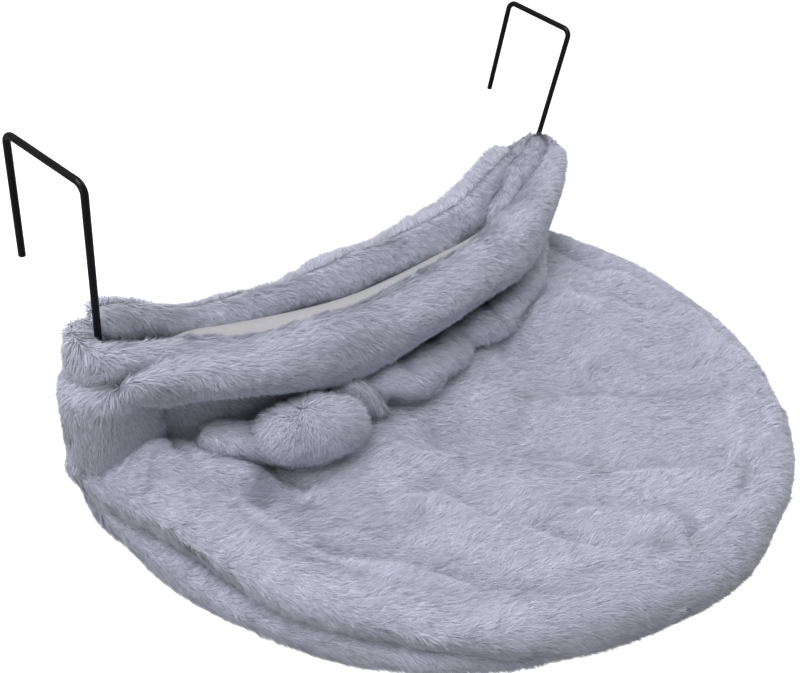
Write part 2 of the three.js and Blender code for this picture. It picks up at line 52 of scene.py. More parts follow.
# The hooks. The frame gives their span, their bar and their wire
LEFT_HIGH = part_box("hook_rod_left")[1]
RIGHT_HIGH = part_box("hook_rod_right")[1]
WIRE = LEFT_HIGH.z
WIRE_RADIUS = WIRE / 2
HOOK_BACK_X = RIGHT_HIGH.x - WIRE_RADIUS
HOOK_TOE_OUT = 0.005
HOOK_X = HOOK_BACK_X - HOOK_TOE_OUT
BAR_BACK_Y = RIGHT_HIGH.y - WIRE_RADIUS
BAR_FRONT_Y = -BAR_BACK_Y
BACK_LEG_FOOT_Z = -0.0905
BEND_RADIUS = 0.007
BEND_STEPS = 12
WIRE_SIDES = 28
WIRE_END_BEVEL_SHARE = 0.09
WIRE_END_ANGLE = 1.2
LEG_LENGTH = 0.233
STUB_LENGTH = 0.042

# The loop, in the bed's own coordinates: across to the right, out from the legs, up from it
RISE = math.radians(4.1)
SIDE_DRIFT = 0.072
LOOP_LEVEL = WIRE_RADIUS - LEG_LENGTH
LOOP_HALF = 0.2575
LOOP_STRAIGHT = 0.116
LOOP_FRONT = 0.263
LOOP_STEPS = 600
LOOP_CHECKS = 420
LOOP_TURN_STEP = 0.004

# The rim round the loop, fuller at its left shoulder and deeper at the front
RIM_HALF_WIDTH = 0.022
RIM_HALF_HEIGHT = 0.017
RIM_TAIL = 0.022
RIM_BLEND = 0.007
RIM_OUTER_FALL = 3
RIM_WAVE = 0.0018
RIM_WAVES = 7
RIM_WAVE_TURN = 1.5
RIM_LEAST_HEIGHT = 0.002
RIM_END_SHARE = 0.012
RIM_END_LEAST = 0.1
RIM_CREASE = 0.0035
RIM_RIDGE = 0.012
RIM_JUST_INSIDE_SHARE = 0.999
RIM_UPPER_TURN = 1.5
RIM_OUTER_TURN = 2
RIM_PANEL_SIDE = -0.020
RIM_UNDER_SIDE = -0.004
RIM_LOOKS_DOWN = 0.1
SHOULDER_SHARE = 0.036
SHOULDER_SPREAD_SHARE = 0.066
SHOULDER_WIDEN = 0.003
SHOULDER_BULGE = 0.010
SHOULDER_LIFT = 0.006
FRONT_START_SHARE = 0.26
FRONT_RUN_SHARE = 0.14
FRONT_DROP = 0.009

# The sleeping panel. It meets the rim a little higher than its solid does, because the cloth
# runs over the rim in one piece
PANEL_EDGE_RISE = 0.0155
PANEL_SAG = 0.0475
PANEL_SAG_RUN = 0.125
PANEL_EDGE_INSIDE = 0.010
PANEL_TUCK = 0.0045
PANEL_TUCK_RUN = 0.011
PANEL_UNDER_ROLL = 0.004
SAG_POWER = 1.15
PLUSH_THICKNESS = 0.012
BACKING_THICKNESS = 0.0025
KNIT_THICKNESS = 0.0015

# The under panel: its belly, and its rolled edge that hangs in swags. Each of the edge's
# stretches, at the left, in the middle and at the right, has its place and its spread as shares
BELLY_MIDDLE = 0.150
BELLY_DROP = 0.032
BELLY_RUN = 0.090
BELLY_POWER = 0.8
BELLY_FOLD = 0.0035
BELLY_FOLD_SIZE = 0.07
BELLY_FOLD_LEAST = 0.2
BELLY_FOLD_FADE = 4
EDGE_HALF_WIDTH = 0.0165
EDGE_HALF_HEIGHT = 0.0155
EDGE_ASIDE = 0.0055
EDGE_TUCK = 0.012
EDGE_CENTRE = -0.0300
EDGE_LIFT = 0.0105
EDGE_SINK = 0.0040
EDGE_OUT_LEFT = 0.0080
EDGE_OUT_RIGHT = 0.0125
EDGE_STRETCHES = ((0.13, 0.07), (0.36, 0.11), (0.66, 0.13))
EDGE_START_SHARE = 0.05
EDGE_LOOKS_DOWN = -0.2
EDGE_STEPS = 400
EDGE_TURN_STEP = 0.003
EDGE_CORNER = 0.012
EDGE_CORNER_CUT_SHARE = 0.3
UNDER_REAR = -RIM_TAIL + RIM_HALF_HEIGHT / 2
SWAG_DROP = 0.007
SWAG_COUNT = 9

# The band with the mouth of the cover: the front roll, the rear hem and the walls
BAND_HALF = 0.234
ROLL_RADIUS = 0.027
ROLL_END_RADIUS = 0.021
ROLL_REACH = 0.084
ROLL_REACH_DROP = 0.052
ROLL_RISE = 0.065
ROLL_RISE_GAIN = 0.036
ROLL_REACH_POWER = 2.2
ROLL_LOOKS_DOWN = -0.85
HEM_TOP = 0.084
HEM_TOP_RISE = 0.038
HEM_SLACK = 0.003
HEM_DIP = 0.008
HEM_DIP_PLACE = 0.125
HEM_DIP_SPREAD = 0.065
HEM_LEFT_LIFT = 0.010
HEM_LEFT_PLACE = -0.19
HEM_LEFT_RUN = 0.05
HEM_HEIGHT_LEFT = 0.032
HEM_HEIGHT_MIDDLE = 0.052
HEM_GROWTH_START = -0.20
HEM_GROWTH_RUN = 0.24
HEM_RIGHT_GAIN = 0.012
HEM_RIGHT_START = 0.06
HEM_RIGHT_RUN = 0.09
HEM_DEPTH = 0.022
HEM_LEAN = 0.95
HEM_RAISE = 0.007
HEM_BOW = 0.011
HEM_SET_BACK = 0.009
HEM_FORWARD = 0.004
HEM_SWAY = 0.002
HEM_SWAYS = 38
HEM_MORE_DEPTH = 0.002
HEM_HANG_SHARE = 0.95
HEM_GROOVE = 0.0045
HEM_GROOVE_ANGLE = 0.95
HEM_GROOVE_SPREAD = 0.22
HEM_GROOVE_START = -0.12
HEM_GROOVE_RUN = 0.14
FRONT_OVERLAP = 0.008
FRONT_FOLD = 0.004
FRONT_FOLDS = 60
REAR_OVERLAP = 0.032
REAR_STEP = 0.013
REAR_END_DROP = 0.034
REAR_TOP_SHARE = 0.35
REAR_FOLD = 0.003
REAR_FOLDS = 34
REAR_FOLD_START = 0.7

# The knit strip in the mouth
LINING_HALF = 0.238
LINING_CROWN = 0.009
LINING_DROP_SHARES = (0.45, 0.9)
LINING_DROP_START = -0.2
LINING_DROP_RUN = 0.2
LINING_FRONT_SHARE = 0.7
LINING_FRONT_RISE_SHARE = 0.15
LINING_LEFT_RUN = 0.055
LINING_RIGHT_END = 0.155
LINING_RIGHT_RUN = 0.06
LINING_END_SHARE = 0.12

# The walls round the legs
END_MIDDLE = 0.011
END_HALF_DEPTH = 0.030
END_LOW = 0.014
END_TURN_WIDTH = 0.048
END_REACH_HEIGHTS = (0.02, 0.12)
END_LOOKS_IN = -0.7
END_VALLEY = 0.014
END_CREASE_WIDTH = 0.0055
END_OUTSIDE_SHARE = 0.56
END_TOP_DEPTH_SHARE = 0.8
END_TOP_START = 0.08
END_TOP_RUN = 0.04
LEG_LEAN_OUT = 0.0715
STAR_PLACE = (0.271, 0.038, 0.093)
STAR_PULL = 0.75
STAR_SPREAD = 0.030

# Gathers in front of the band
GATHER_OUT = 0.016
KNOB_PLACE = -0.158
KNOB_WIDTH = 0.080
KNOB_DEPTH = 0.047
KNOB_HEIGHT = 0.043
KNOB_CUT_SHARE = 0.02
KNOB_SWELL_POWER = 0.6
KNOB_PLEAT = 0.0016
KNOB_PLEATS = 6
KNOB_OVER_PANEL = 0.001
KNOB_PARTING_ASIDE = 0.004
KNOB_PARTING_OUT_SHARE = 0.36
KNOB_PARTING_UP_SHARE = 1.15
TONGUE_MOST_HALF_HEIGHT = 0.0105
TONGUE_HEIGHT_SHARE = 0.7
TONGUE_TILT = -0.5

# Soft rolls: how their ends close, and how little the inset for the pile leaves of them
ROLL_CLOSING_SHARE = 0.03
ROLL_CLOSING_LEAST = 0.04
ROLL_LEAST_SHARE = 0.4
ROLL_TURN_SHARE = 0.01

# How the padded pieces are filled, as cloth
CLOTH_VOXEL = 0.004
CLOTH_VOXEL_LARGE = 0.0048
CLOTH_PRESSURE = 4.0
CLOTH_FRAMES = 20
CLOTH_MOST = 0.0025

# The pile, with its density as hairs to the square metre, and how far the hairs stray by patch,
# by wave, by tuft and each by itself. It is thinner, and its hairs wider, where it is hardly seen
PILE_INSET = 0.0042
LAYERS_DEPTH = 0.0022
HAIR_DENSITY = 3.0e6
HEM_HAIR_DENSITY = 3.2e6
UNDER_HAIR_DENSITY = 0.55e6
UNDER_HAIR_WIDER = 2.4
HAIR_LENGTH = 0.0098
HAIR_WIDTH = 0.00061
HAIR_LEAN = 1.35
HAIR_UNRULY = 0.27
CLUMP_SIZE = 0.0046
CLUMP_DRAW = 0.32
WAVE_SIZE = 0.012
PATCH_SIZE = 0.034
TURN_BY = {"patch": 0.5, "wave": 0.45, "tuft": 0.4}
TILT_BY = {"patch": 0.07, "wave": 0.08, "tuft": 0.16, "hair": 0.09}
LEAST_TILT = 0.15
MOST_TILT = 1.5
LENGTH_SHARE = 0.90
LENGTH_BY = {"patch": 0.05, "tuft": 0.2, "hair": 0.06}
SIDE_TWIST = 0.2
THINNEST_SHARE = 0.7
THICKEST_SHARE = 1.3
TONE_BY = {"tuft": 0.20, "hair": 0.27}
TONE_MARGIN = 0.02
SKIN_SHADING = 0.66
HEADING_SHADING = 0.15
TONE_STRIP = 0.004
MOST_HAIRS = 168000
FINER_AT_LEFT = 0.22


def smooth(value):
    t = np.clip(value, 0, 1)
    return t * t * (3 - 2 * t)


def lerp(a, b, share):
    return a + (b - a) * share


def hump(value, place, spread):
    """1 at a place, and softly down to 0 on both sides of it."""
    return np.exp(-((value - place) / spread) ** 2)


def rounded_ends(share, end_share, least):
    """How much of a closed form's section is left near its two ends, as a share."""
    end = np.minimum(share, 1 - share) / end_share
    return np.where(end < 1, np.sqrt(np.clip(1 - (1 - end) ** 2, least, 1)), 1)


def unit(vectors):
    return vectors / np.maximum(np.linalg.norm(vectors, axis=-1, keepdims=True), 1e-9)


def bed(across, out, up):
    """Places of the bed, as rows of x, y, z."""
    across, out, up = np.broadcast_arrays(across, out, up)
    return np.stack([
        across + SIDE_DRIFT * np.maximum(out, 0),
        BAR_FRONT_Y - out * math.cos(RISE) + up * math.sin(RISE),
        LOOP_LEVEL + out * math.sin(RISE) + up * math.cos(RISE),
    ], axis=-1)


def plan(points):
    """The across and out of places given as rows of x, y, z, and their up."""
    y, z = points[:, 1] - BAR_FRONT_Y, points[:, 2] - LOOP_LEVEL
    out = -y * math.cos(RISE) + z * math.sin(RISE)
    up = y * math.sin(RISE) + z * math.cos(RISE)
    return points[:, 0] - SIDE_DRIFT * np.maximum(out, 0), out, up


# Noise that is the same on every run

def hashed(cells, seed):
    """Three random numbers from 0 to 1 for each row of three whole numbers."""
    n = cells.astype(np.int64)
    mixed = n[:, 0] * 73856093 ^ n[:, 1] * 19349663 ^ n[:, 2] * 83492791 ^ seed * 2654435761
    rows = []
    for _ in range(3):
        mixed = (mixed ^ (mixed >> 15)) * 2246822519 & 0xFFFFFFFF
        mixed = (mixed ^ (mixed >> 13)) * 3266489917 & 0xFFFFFFFF
        mixed = mixed ^ (mixed >> 16)
        rows.append(mixed / 0xFFFFFFFF)
    return np.stack(rows, axis=1)


def soft_noise(points, size, seed):
    """Three smooth noises, each from -1 to 1, whose bumps are about the given size."""
    scaled = points / size
    low = np.floor(scaled)
    part = smooth(scaled - low)
    total = np.zeros((len(points), 3))
    for corner in np.ndindex(2, 2, 2):
        weight = np.prod(np.where(corner, part, 1 - part), axis=1)
        total += weight[:, None] * hashed(low + corner, seed)
    return total * 2 - 1


def clumps(points, size, seed):
    """The nearest tuft's middle for each point, and three random numbers that its hairs share."""
    scaled = points / size
    low = np.floor(scaled - 0.5)
    best = np.full(len(points), np.inf)
    middle = np.zeros((len(points), 3))
    luck = np.zeros((len(points), 3))
    for step in np.ndindex(2, 2, 2):
        cell = low + step
        chance = hashed(cell, seed)
        place = cell + chance
        away = ((place - scaled) ** 2).sum(axis=1)
        nearer = away < best
        best[nearer] = away[nearer]
        middle[nearer] = place[nearer]
        luck[nearer] = hashed(cell[nearer] + 0.0, seed + 1)
    return middle * size, luck


# Folds of the cover, as lines in the bed's plan

def from_line(across, out, line):
    """Distance to a line of plan points, positive on its near side, and the share along it."""
    points = np.array(line, float)
    lengths = np.linalg.norm(np.diff(points, axis=0), axis=1)
    before = np.concatenate([[0], np.cumsum(lengths)])
    here = np.stack([across, out], axis=-1)
    best = np.full(np.shape(across), np.inf)
    side = np.ones(np.shape(across))
    share = np.zeros(np.shape(across))
    for i, length in enumerate(lengths):
        along = (points[i + 1] - points[i]) / length
        reach = here - points[i]
        travel = np.clip(reach @ along, 0, length)
        gap = reach - travel[..., None] * along
        away = np.hypot(gap[..., 0], gap[..., 1])
        nearer = away < best
        best = np.where(nearer, away, best)
        turn = along[0] * gap[..., 1] - along[1] * gap[..., 0]
        side = np.where(nearer, np.sign(turn), side)
        share = np.where(nearer, (before[i] + travel) / before[-1], share)
    return best * np.where(side == 0, 1, side), share


def fold_ends(share):
    """Fades a fold in over the first part of its line and out over the last."""
    return smooth(share / FOLD_END_SHARE) * smooth((1 - share) / FOLD_END_SHARE)


# Each ridge: its line, height, and how far it spreads on the near and on the far side
RIDGES = [
    ([(0.150, 0.098), (0.200, 0.118), (0.228, 0.142), (0.237, 0.180), (0.230, 0.216), (0.206, 0.262)],
     0.010, 0.024, 0.015),
    ([(0.112, 0.114), (0.162, 0.134), (0.186, 0.162), (0.186, 0.198), (0.200, 0.222),
      (0.196, 0.254), (0.178, 0.300), (0.176, 0.340)], 0.015, 0.030, 0.018),
    ([(0.100, 0.180), (0.127, 0.202), (0.134, 0.240), (0.144, 0.268), (0.152, 0.300)],
     0.008, 0.022, 0.015),
    ([(-0.020, 0.140), (0.020, 0.172), (0.048, 0.196), (0.072, 0.234), (0.088, 0.266),
      (0.120, 0.318), (0.140, 0.352), (0.154, 0.376)], 0.017, 0.040, 0.021),
    ([(-0.140, 0.142), (-0.094, 0.174), (-0.052, 0.212), (-0.030, 0.256), (-0.016, 0.294),
      (0.010, 0.330), (0.036, 0.350), (0.048, 0.385)], 0.018, 0.038, 0.021),
    ([(-0.090, 0.258), (-0.070, 0.288), (-0.054, 0.318), (-0.038, 0.358)], 0.010, 0.018, 0.014),
    ([(-0.150, 0.178), (-0.126, 0.212), (-0.122, 0.242), (-0.114, 0.264), (-0.113, 0.290),
      (-0.108, 0.316), (-0.084, 0.350), (-0.046, 0.376)], 0.016, 0.034, 0.019),
    ([(-0.266, -0.020), (-0.256, 0.026), (-0.240, 0.062), (-0.226, 0.092), (-0.214, 0.120)],
     0.015, 0.026, 0.024),
]

# Each crease: its line, depth and width
CREASES = [
    ([(-0.136, 0.168), (-0.112, 0.206), (-0.110, 0.236), (-0.102, 0.256), (-0.100, 0.284),
      (-0.096, 0.310), (-0.072, 0.342)], 0.016, 0.0090),
    ([(-0.246, 0.160), (-0.220, 0.184), (-0.188, 0.216), (-0.174, 0.250), (-0.168, 0.280),
      (-0.156, 0.312), (-0.128, 0.350), (-0.088, 0.380), (-0.056, 0.396)], 0.015, 0.0090),
    ([(-0.276, 0.054), (-0.254, 0.092), (-0.228, 0.112), (-0.184, 0.138)], 0.015, 0.0090),
    ([(0.055, 0.120), (0.105, 0.150), (0.118, 0.190)], 0.009, 0.018),
    ([(-0.070, 0.142), (-0.034, 0.172), (0.000, 0.208)], 0.008, 0.016),
    ([(-0.190, 0.070), (-0.184, 0.105), (-0.176, 0.130)], 0.015, 0.011),
]
DIMPLE = (0.066, 0.338)
DIMPLE_DEPTH = 0.007
DIMPLE_WIDTH = 0.011
RIDGE_SHARE = 1.18
RIPPLE = 0.0016
RIPPLE_SIZE = 0.028
CREASE_POWER = 1.5
FOLD_END_SHARE = 0.14


def fold_rise(across, out):
    """How far the folds lift or sink the cover at places in plan."""
    total = np.zeros(np.shape(across))
    for line, height, near_side, far_side in RIDGES:
        away, share = from_line(across, out, line)
        spread = np.where(away > 0, near_side, far_side)
        total += RIDGE_SHARE * height * hump(away, 0, spread) * fold_ends(share)
    for line, depth, width in CREASES:
        away, share = from_line(across, out, line)
        total -= depth * np.exp(-np.abs(away / width) ** CREASE_POWER) * fold_ends(share)
    from_dimple = (across - DIMPLE[0]) ** 2 + (out - DIMPLE[1]) ** 2
    total -= DIMPLE_DEPTH * np.exp(-from_dimple / DIMPLE_WIDTH ** 2)
    flat = np.stack([np.ravel(across), np.ravel(out), np.zeros(np.size(across))], axis=1)
    total += RIPPLE * soft_noise(flat, RIPPLE_SIZE, seed=11)[:, 0].reshape(np.shape(across))
    return total


def nearness(across, out, margin):
    """0 in the bed's middle and 1 at a margin inside the loop."""
    side = across / (LOOP_HALF - margin)
    front = np.maximum(out - LOOP_STRAIGHT, 0) / (LOOP_FRONT - margin)
    return np.minimum(np.hypot(side, front), 1)


def from_middle(across):
    return np.abs(across / LOOP_HALF)


def roll_out(across):
    return ROLL_REACH - ROLL_REACH_DROP * from_middle(across) ** ROLL_REACH_POWER


def roll_up(across):
    return ROLL_RISE + ROLL_RISE_GAIN * from_middle(across) ** 3


def roll_radius(across):
    return lerp(ROLL_RADIUS, ROLL_END_RADIUS, np.abs(across / BAND_HALF) ** 4)


def hem_out(across):
    return HEM_BOW * (1 - from_middle(across) ** 2) - HEM_SET_BACK


def hem_top(across):
    slack = HEM_SLACK + HEM_DIP * hump(across, HEM_DIP_PLACE, HEM_DIP_SPREAD)
    lifted = HEM_LEFT_LIFT * smooth((HEM_LEFT_PLACE - across) / HEM_LEFT_RUN)
    return HEM_TOP + HEM_TOP_RISE * from_middle(across) ** 3 - slack + lifted


def hem_height(across):
    grown = smooth((across - HEM_GROWTH_START) / HEM_GROWTH_RUN)
    more = HEM_RIGHT_GAIN * smooth((across - HEM_RIGHT_START) / HEM_RIGHT_RUN)
    return lerp(HEM_HEIGHT_LEFT, HEM_HEIGHT_MIDDLE, grown) + more


def panel_height(across, out):
    near = nearness(across, out, RIM_HALF_WIDTH)
    from_band = smooth((out - roll_out(across)) / PANEL_SAG_RUN)
    return PANEL_EDGE_RISE - PANEL_SAG * (1 - near * near) ** SAG_POWER * from_band


def half_ellipse(half, front, steps):
    """A curved front as places in plan, from left to right."""
    angle = np.linspace(math.pi, 0, steps)
    return np.stack([half * np.cos(angle), LOOP_STRAIGHT + front * np.sin(angle)], axis=1)


def travel_along(route):
    """How far along a route each of its places lies."""
    return np.concatenate([[0], np.cumsum(np.linalg.norm(np.diff(route, axis=0), axis=1))])


def on_route(route, travel, goal, before, after):
    """Places in plan at a goal along a route, and the unit way outwards there."""
    place, behind, ahead = (
        np.stack([np.interp(t, travel, route[:, i]) for i in range(2)], axis=-1)
        for t in (goal, before, after)
    )
    along = unit(ahead - behind)
    return place, np.stack([-along[..., 1], along[..., 0]], axis=-1)


# The loop's route as places in plan, from the left leg round the front to the right leg
ROUTE = np.concatenate([
    [(-LOOP_HALF, -RIM_TAIL)], half_ellipse(LOOP_HALF, LOOP_FRONT, LOOP_STEPS), [(LOOP_HALF, -RIM_TAIL)],
])
ROUTE_TRAVEL = travel_along(ROUTE)


def on_loop(share):
    """Place in plan at a share of the loop's route, and the unit way outwards there."""
    goal = share * ROUTE_TRAVEL[-1]
    return on_route(ROUTE, ROUTE_TRAVEL, goal, goal - LOOP_TURN_STEP, goal + LOOP_TURN_STEP)


def near_loop(across, out):
    """How far outside the loop a place in plan lies, negative inside, and its share of the route."""
    here = np.stack([np.ravel(across), np.ravel(out)], axis=1)
    share = np.linspace(0, 1, LOOP_CHECKS)
    place, way = on_loop(share)
    gap = here[:, None, :] - place[None, :, :]
    nearest = (gap ** 2).sum(axis=2).argmin(axis=1)
    picked = gap[np.arange(len(here)), nearest]
    outward = (picked * way[nearest]).sum(axis=1)
    return outward.reshape(np.shape(across)), share[nearest].reshape(np.shape(across))


def shoulder_at(share):
    return hump(share, SHOULDER_SHARE, SHOULDER_SPREAD_SHARE)


def front_at(share):
    return smooth((share - FRONT_START_SHARE) / FRONT_RUN_SHARE) * smooth((1 - share) / FRONT_RUN_SHARE)


def rim_sizes(share):
    """Half width, height above the wire and depth under it of the rim, at a share of its route."""
    shoulder = shoulder_at(share)
    return (RIM_HALF_WIDTH + SHOULDER_WIDEN * shoulder,
            RIM_HALF_HEIGHT + SHOULDER_LIFT * shoulder,
            RIM_HALF_HEIGHT + FRONT_DROP * front_at(share))


def top_height(across, out, outward, share):
    """The cover's upper surface: the sagging panel, which rises smoothly over the rim."""
    wide, high, _ = rim_sizes(share)
    panel = panel_height(across, out)
    span = np.abs(outward / wide)
    arched = high * np.sqrt(np.clip(1 - span ** 2, 0, 1))
    bulge = np.where(span < 1, arched, (1 - span) * wide * RIM_OUTER_FALL)
    near = np.exp(-np.abs(panel - bulge) / RIM_BLEND)
    blended = np.maximum(panel, bulge) + RIM_BLEND * (np.log1p(near) - math.log(2) * near)
    return np.where(outward > 0, bulge, blended)


def cover_height(across, out):
    """The upper surface with its folds."""
    outward, share = near_loop(across, out)
    return top_height(across, out, outward, share) + fold_rise(across, out)


# Making meshes

MERGE_DISTANCE = 0.00002


def new_object(name, data):
    piece = bpy.data.objects.new(name, data)
    bpy.context.scene.collection.objects.link(piece)
    return piece


def shaped_grid(columns, rows, place, wrap=False):
    """A grid whose vertices go where place puts their two shares, as a bmesh."""
    bm = bmesh.new()
    bmesh.ops.create_grid(bm, x_segments=columns, y_segments=rows, size=0.5)
    shares = np.array([v.co[:2] for v in bm.verts]) + 0.5
    uv = bm.loops.layers.uv.new("cloth")
    for face in bm.faces:
        for loop in face.loops:
            loop[uv].uv = (loop.vert.co.x + 0.5, loop.vert.co.y + 0.5)
    for vert, co in zip(bm.verts, place(shares[:, 0], shares[:, 1])):
        vert.co = co
    if wrap:
        bmesh.ops.remove_doubles(bm, verts=bm.verts, dist=MERGE_DISTANCE)
    bm.normal_update()
    return bm


def face_towards(bm, point_out):
    """Turns the faces of an open sheet so that most of them look the given way."""
    score = sum(f.normal.dot(Vector(point_out)) * f.calc_area() for f in bm.faces)
    if score < 0:
        bmesh.ops.reverse_faces(bm, faces=bm.faces)
    bm.normal_update()


def curve_through(goal, travel, values):
    """Smooth values at places along a route, from those at its stops."""
    slopes = np.gradient(values, travel)
    i = np.clip(np.searchsorted(travel, goal) - 1, 0, len(travel) - 2)
    span = travel[i + 1] - travel[i]
    t = (goal - travel[i]) / span
    return ((1 + 2 * t) * (1 - t) ** 2 * values[i] + t * (1 - t) ** 2 * span * slopes[i]
            + t * t * (3 - 2 * t) * values[i + 1] + t * t * (t - 1) * span * slopes[i + 1])


def soft_roll(stops, columns, rows, ripple, end_share=ROLL_CLOSING_SHARE):
    """A closed soft roll as a bmesh, inside its pile. Each stop is across, out, up, half width,
    half height and tilt, with the pile's tips."""
    table = np.array(stops, float)
    for i in (3, 4):
        table[:, i] = np.maximum(table[:, i] - PILE_INSET, table[:, i] * ROLL_LEAST_SHARE)
    travel = travel_along(table[:, :3])

    def values(goal, count):
        return [curve_through(goal, travel, table[:, i]) for i in range(count)]

    def place(column, row):
        goal = row * travel[-1]
        across, out, up, wide, high, tilt = values(goal, 6)
        step = travel[-1] * ROLL_TURN_SHARE
        ahead = values(np.minimum(goal + step, travel[-1]), 2)
        behind = values(np.maximum(goal - step, 0), 2)
        along = unit(np.stack([ahead[0] - behind[0], ahead[1] - behind[1]], axis=1))
        angle = column * 2 * math.pi
        closed = rounded_ends(row, end_share, ROLL_CLOSING_LEAST)
        loose = ripple(across, angle)
        aside = (wide + loose) * closed * np.cos(angle)
        rise = (high + loose) * closed * np.sin(angle)
        outward = aside * np.cos(tilt) - rise * np.sin(tilt)
        return bed(across - along[:, 1] * outward, out + along[:, 0] * outward,
                   up + aside * np.sin(tilt) + rise * np.cos(tilt))

    bm = shaped_grid(columns, rows, place, wrap=True)
    close_ends(bm)
    return bm


def waves(*each):
    """Ripples of a roll, from each wave's height, its turns along and round the roll, and start."""
    def ripple(across, angle):
        return sum(height * np.sin(across * along + angle * around + start)
                   for height, along, around, start in each)
    return ripple


def close_ends(bm):
    edges = [e for e in bm.edges if e.is_boundary]
    if edges:
        bmesh.ops.holes_fill(bm, edges=edges, sides=0)
    bmesh.ops.recalc_face_normals(bm, faces=bm.faces)
    bm.normal_update()


def inset_skin(bm, depth, evened=0):
    """Moves a surface of pile tips in to where its backing lies, and evens it out there."""
    bm.normal_update()
    moves = [v.normal * depth for v in bm.verts]
    for vert, move in zip(bm.verts, moves):
        vert.co -= move
    inner = [v for v in bm.verts if not v.is_boundary]
    for _ in range(evened):
        bmesh.ops.smooth_vert(bm, verts=inner, factor=0.5, use_axis_x=True, use_axis_y=True, use_axis_z=True)


def closed_skin(columns, rows, place, evened=0):
    """A closed form as a bmesh, from the places of its pile's tips."""
    bm = shaped_grid(columns, rows, place, wrap=True)
    close_ends(bm)
    inset_skin(bm, PILE_INSET, evened)
    return bm


def finish_mesh(bm, name, material):
    mesh = bpy.data.meshes.new(name)
    for face in bm.faces:
        face.smooth = True
    bm.to_mesh(mesh)
    bm.free()
    mesh.materials.append(material)
    return new_object(name, mesh)


def thicken(piece, thickness):
    """Gives an open sheet its thickness, inwards from its face."""
    wall = piece.modifiers.new("thickness", "SOLIDIFY")
    wall.thickness = thickness
    wall.offset = -1


def blown_up(skin, voxel):
    """Fills a closed skin as a cloth pad under a little pressure, and keeps the result."""
    cage = new_object(f"{skin.name}_cage", skin.data.copy())
    grid = cage.modifiers.new("even_faces", "REMESH")
    grid.mode = "VOXEL"
    grid.voxel_size = voxel
    mesh = applied(cage)
    cage.modifiers.clear()
    cage.data = mesh
    rest = coordinates(mesh)
    cloth = cage.modifiers.new("filling", "CLOTH")
    cloth.settings.use_pressure = True
    cloth.settings.uniform_pressure_force = CLOTH_PRESSURE
    cloth.settings.effector_weights.gravity = 0
    scene = bpy.context.scene
    for moment in range(1, CLOTH_FRAMES + 1):
        scene.frame_set(moment)
    blown = applied(cage)
    moved = coordinates(blown) - rest
    far = np.linalg.norm(moved, axis=1, keepdims=True)
    kept = rest + moved * np.minimum(1, CLOTH_MOST / np.maximum(far, 1e-9))
    blown.vertices.foreach_set("co", kept.ravel())
    cage.modifiers.clear()
    cage.data = blown
    finer = cage.modifiers.new("finer", "SUBSURF")
    finer.levels = finer.render_levels = 1
    skin.data = applied(cage)
    skin.data.name = skin.name
    skin.data.materials.clear()
    skin.data.materials.append(BACKING)
    skin.data.shade_smooth()
    scene.frame_set(1)
    bpy.data.objects.remove(cage)


def applied(piece):
    """A piece's mesh with its modifiers applied."""
    graph = bpy.context.evaluated_depsgraph_get()
    return bpy.data.meshes.new_from_object(piece.evaluated_get(graph))


def coordinates(mesh):
    places = np.zeros(len(mesh.vertices) * 3)
    mesh.vertices.foreach_get("co", places)
    return places.reshape(-1, 3)


# Materials

class Amount:
    """A number in a material. Sums and products of it add the Math nodes."""

    def __init__(self, paint, socket):
        self.paint = paint
        self.socket = socket

    def math(self, operation, first, second):
        node = self.paint.node("ShaderNodeMath", {"operation": operation}, {0: first, 1: second})
        return Amount(self.paint, node.outputs[0])

    def __add__(self, other):
        return self.math("ADD", self, other)

    def __mul__(self, other):
        return self.math("MULTIPLY", self, other)

    __radd__ = __add__
    __rmul__ = __mul__


class Paint:
    """A material in the making, with its nodes."""

    def __init__(self, name, **constants):
        self.material = bpy.data.materials.new(name)
        self.material.use_nodes = True
        self.tree = self.material.node_tree
        self.shader = self.tree.nodes["Principled BSDF"]
        for socket, value in constants.items():
            self.shader.inputs[socket.replace("_", " ").title().replace("Ior", "IOR")].default_value = value

    def node(self, kind, settings=None, inputs=None):
        made = self.tree.nodes.new(kind)
        for name, value in (settings or {}).items():
            if name == "stops":
                self.set_stops(made.color_ramp, value)
            else:
                setattr(made, name, value)
        for socket, value in (inputs or {}).items():
            self.feed(made.inputs[socket], value)
        return made

    def set_stops(self, ramp, stops):
        for _ in range(len(stops) - len(ramp.elements)):
            ramp.elements.new(0.5)
        for element, (place, colour) in zip(ramp.elements, stops):
            element.position = place
            element.color = (*colour, 1)

    def feed(self, socket, value):
        source = value.socket if isinstance(value, Amount) else value
        if isinstance(source, bpy.types.NodeSocket):
            self.tree.links.new(source, socket)
        else:
            socket.default_value = source

    def amount(self, node, output=0):
        return Amount(self, node.outputs[output])

    def noise(self, vector, scale, detail=3.0, roughness=0.5):
        return self.amount(self.node(
            "ShaderNodeTexNoise", {"noise_dimensions": "3D"},
            {"Vector": vector, "Scale": scale, "Detail": detail, "Roughness": roughness},
        ))

    def object_place(self):
        return self.node("ShaderNodeTexCoord").outputs["Object"]

    def mix(self, factor, dark, light):
        made = self.node("ShaderNodeMix", {"data_type": "RGBA"}, {0: factor, 6: (*dark, 1), 7: (*light, 1)})
        return made.outputs[2]

    def set(self, socket, value):
        self.feed(self.shader.inputs[socket], value)

    def set_bump(self, height, strength, distance):
        bump = self.node("ShaderNodeBump", None,
                         {"Strength": strength, "Distance": distance, "Height": height})
        self.set("Normal", bump.outputs[0])


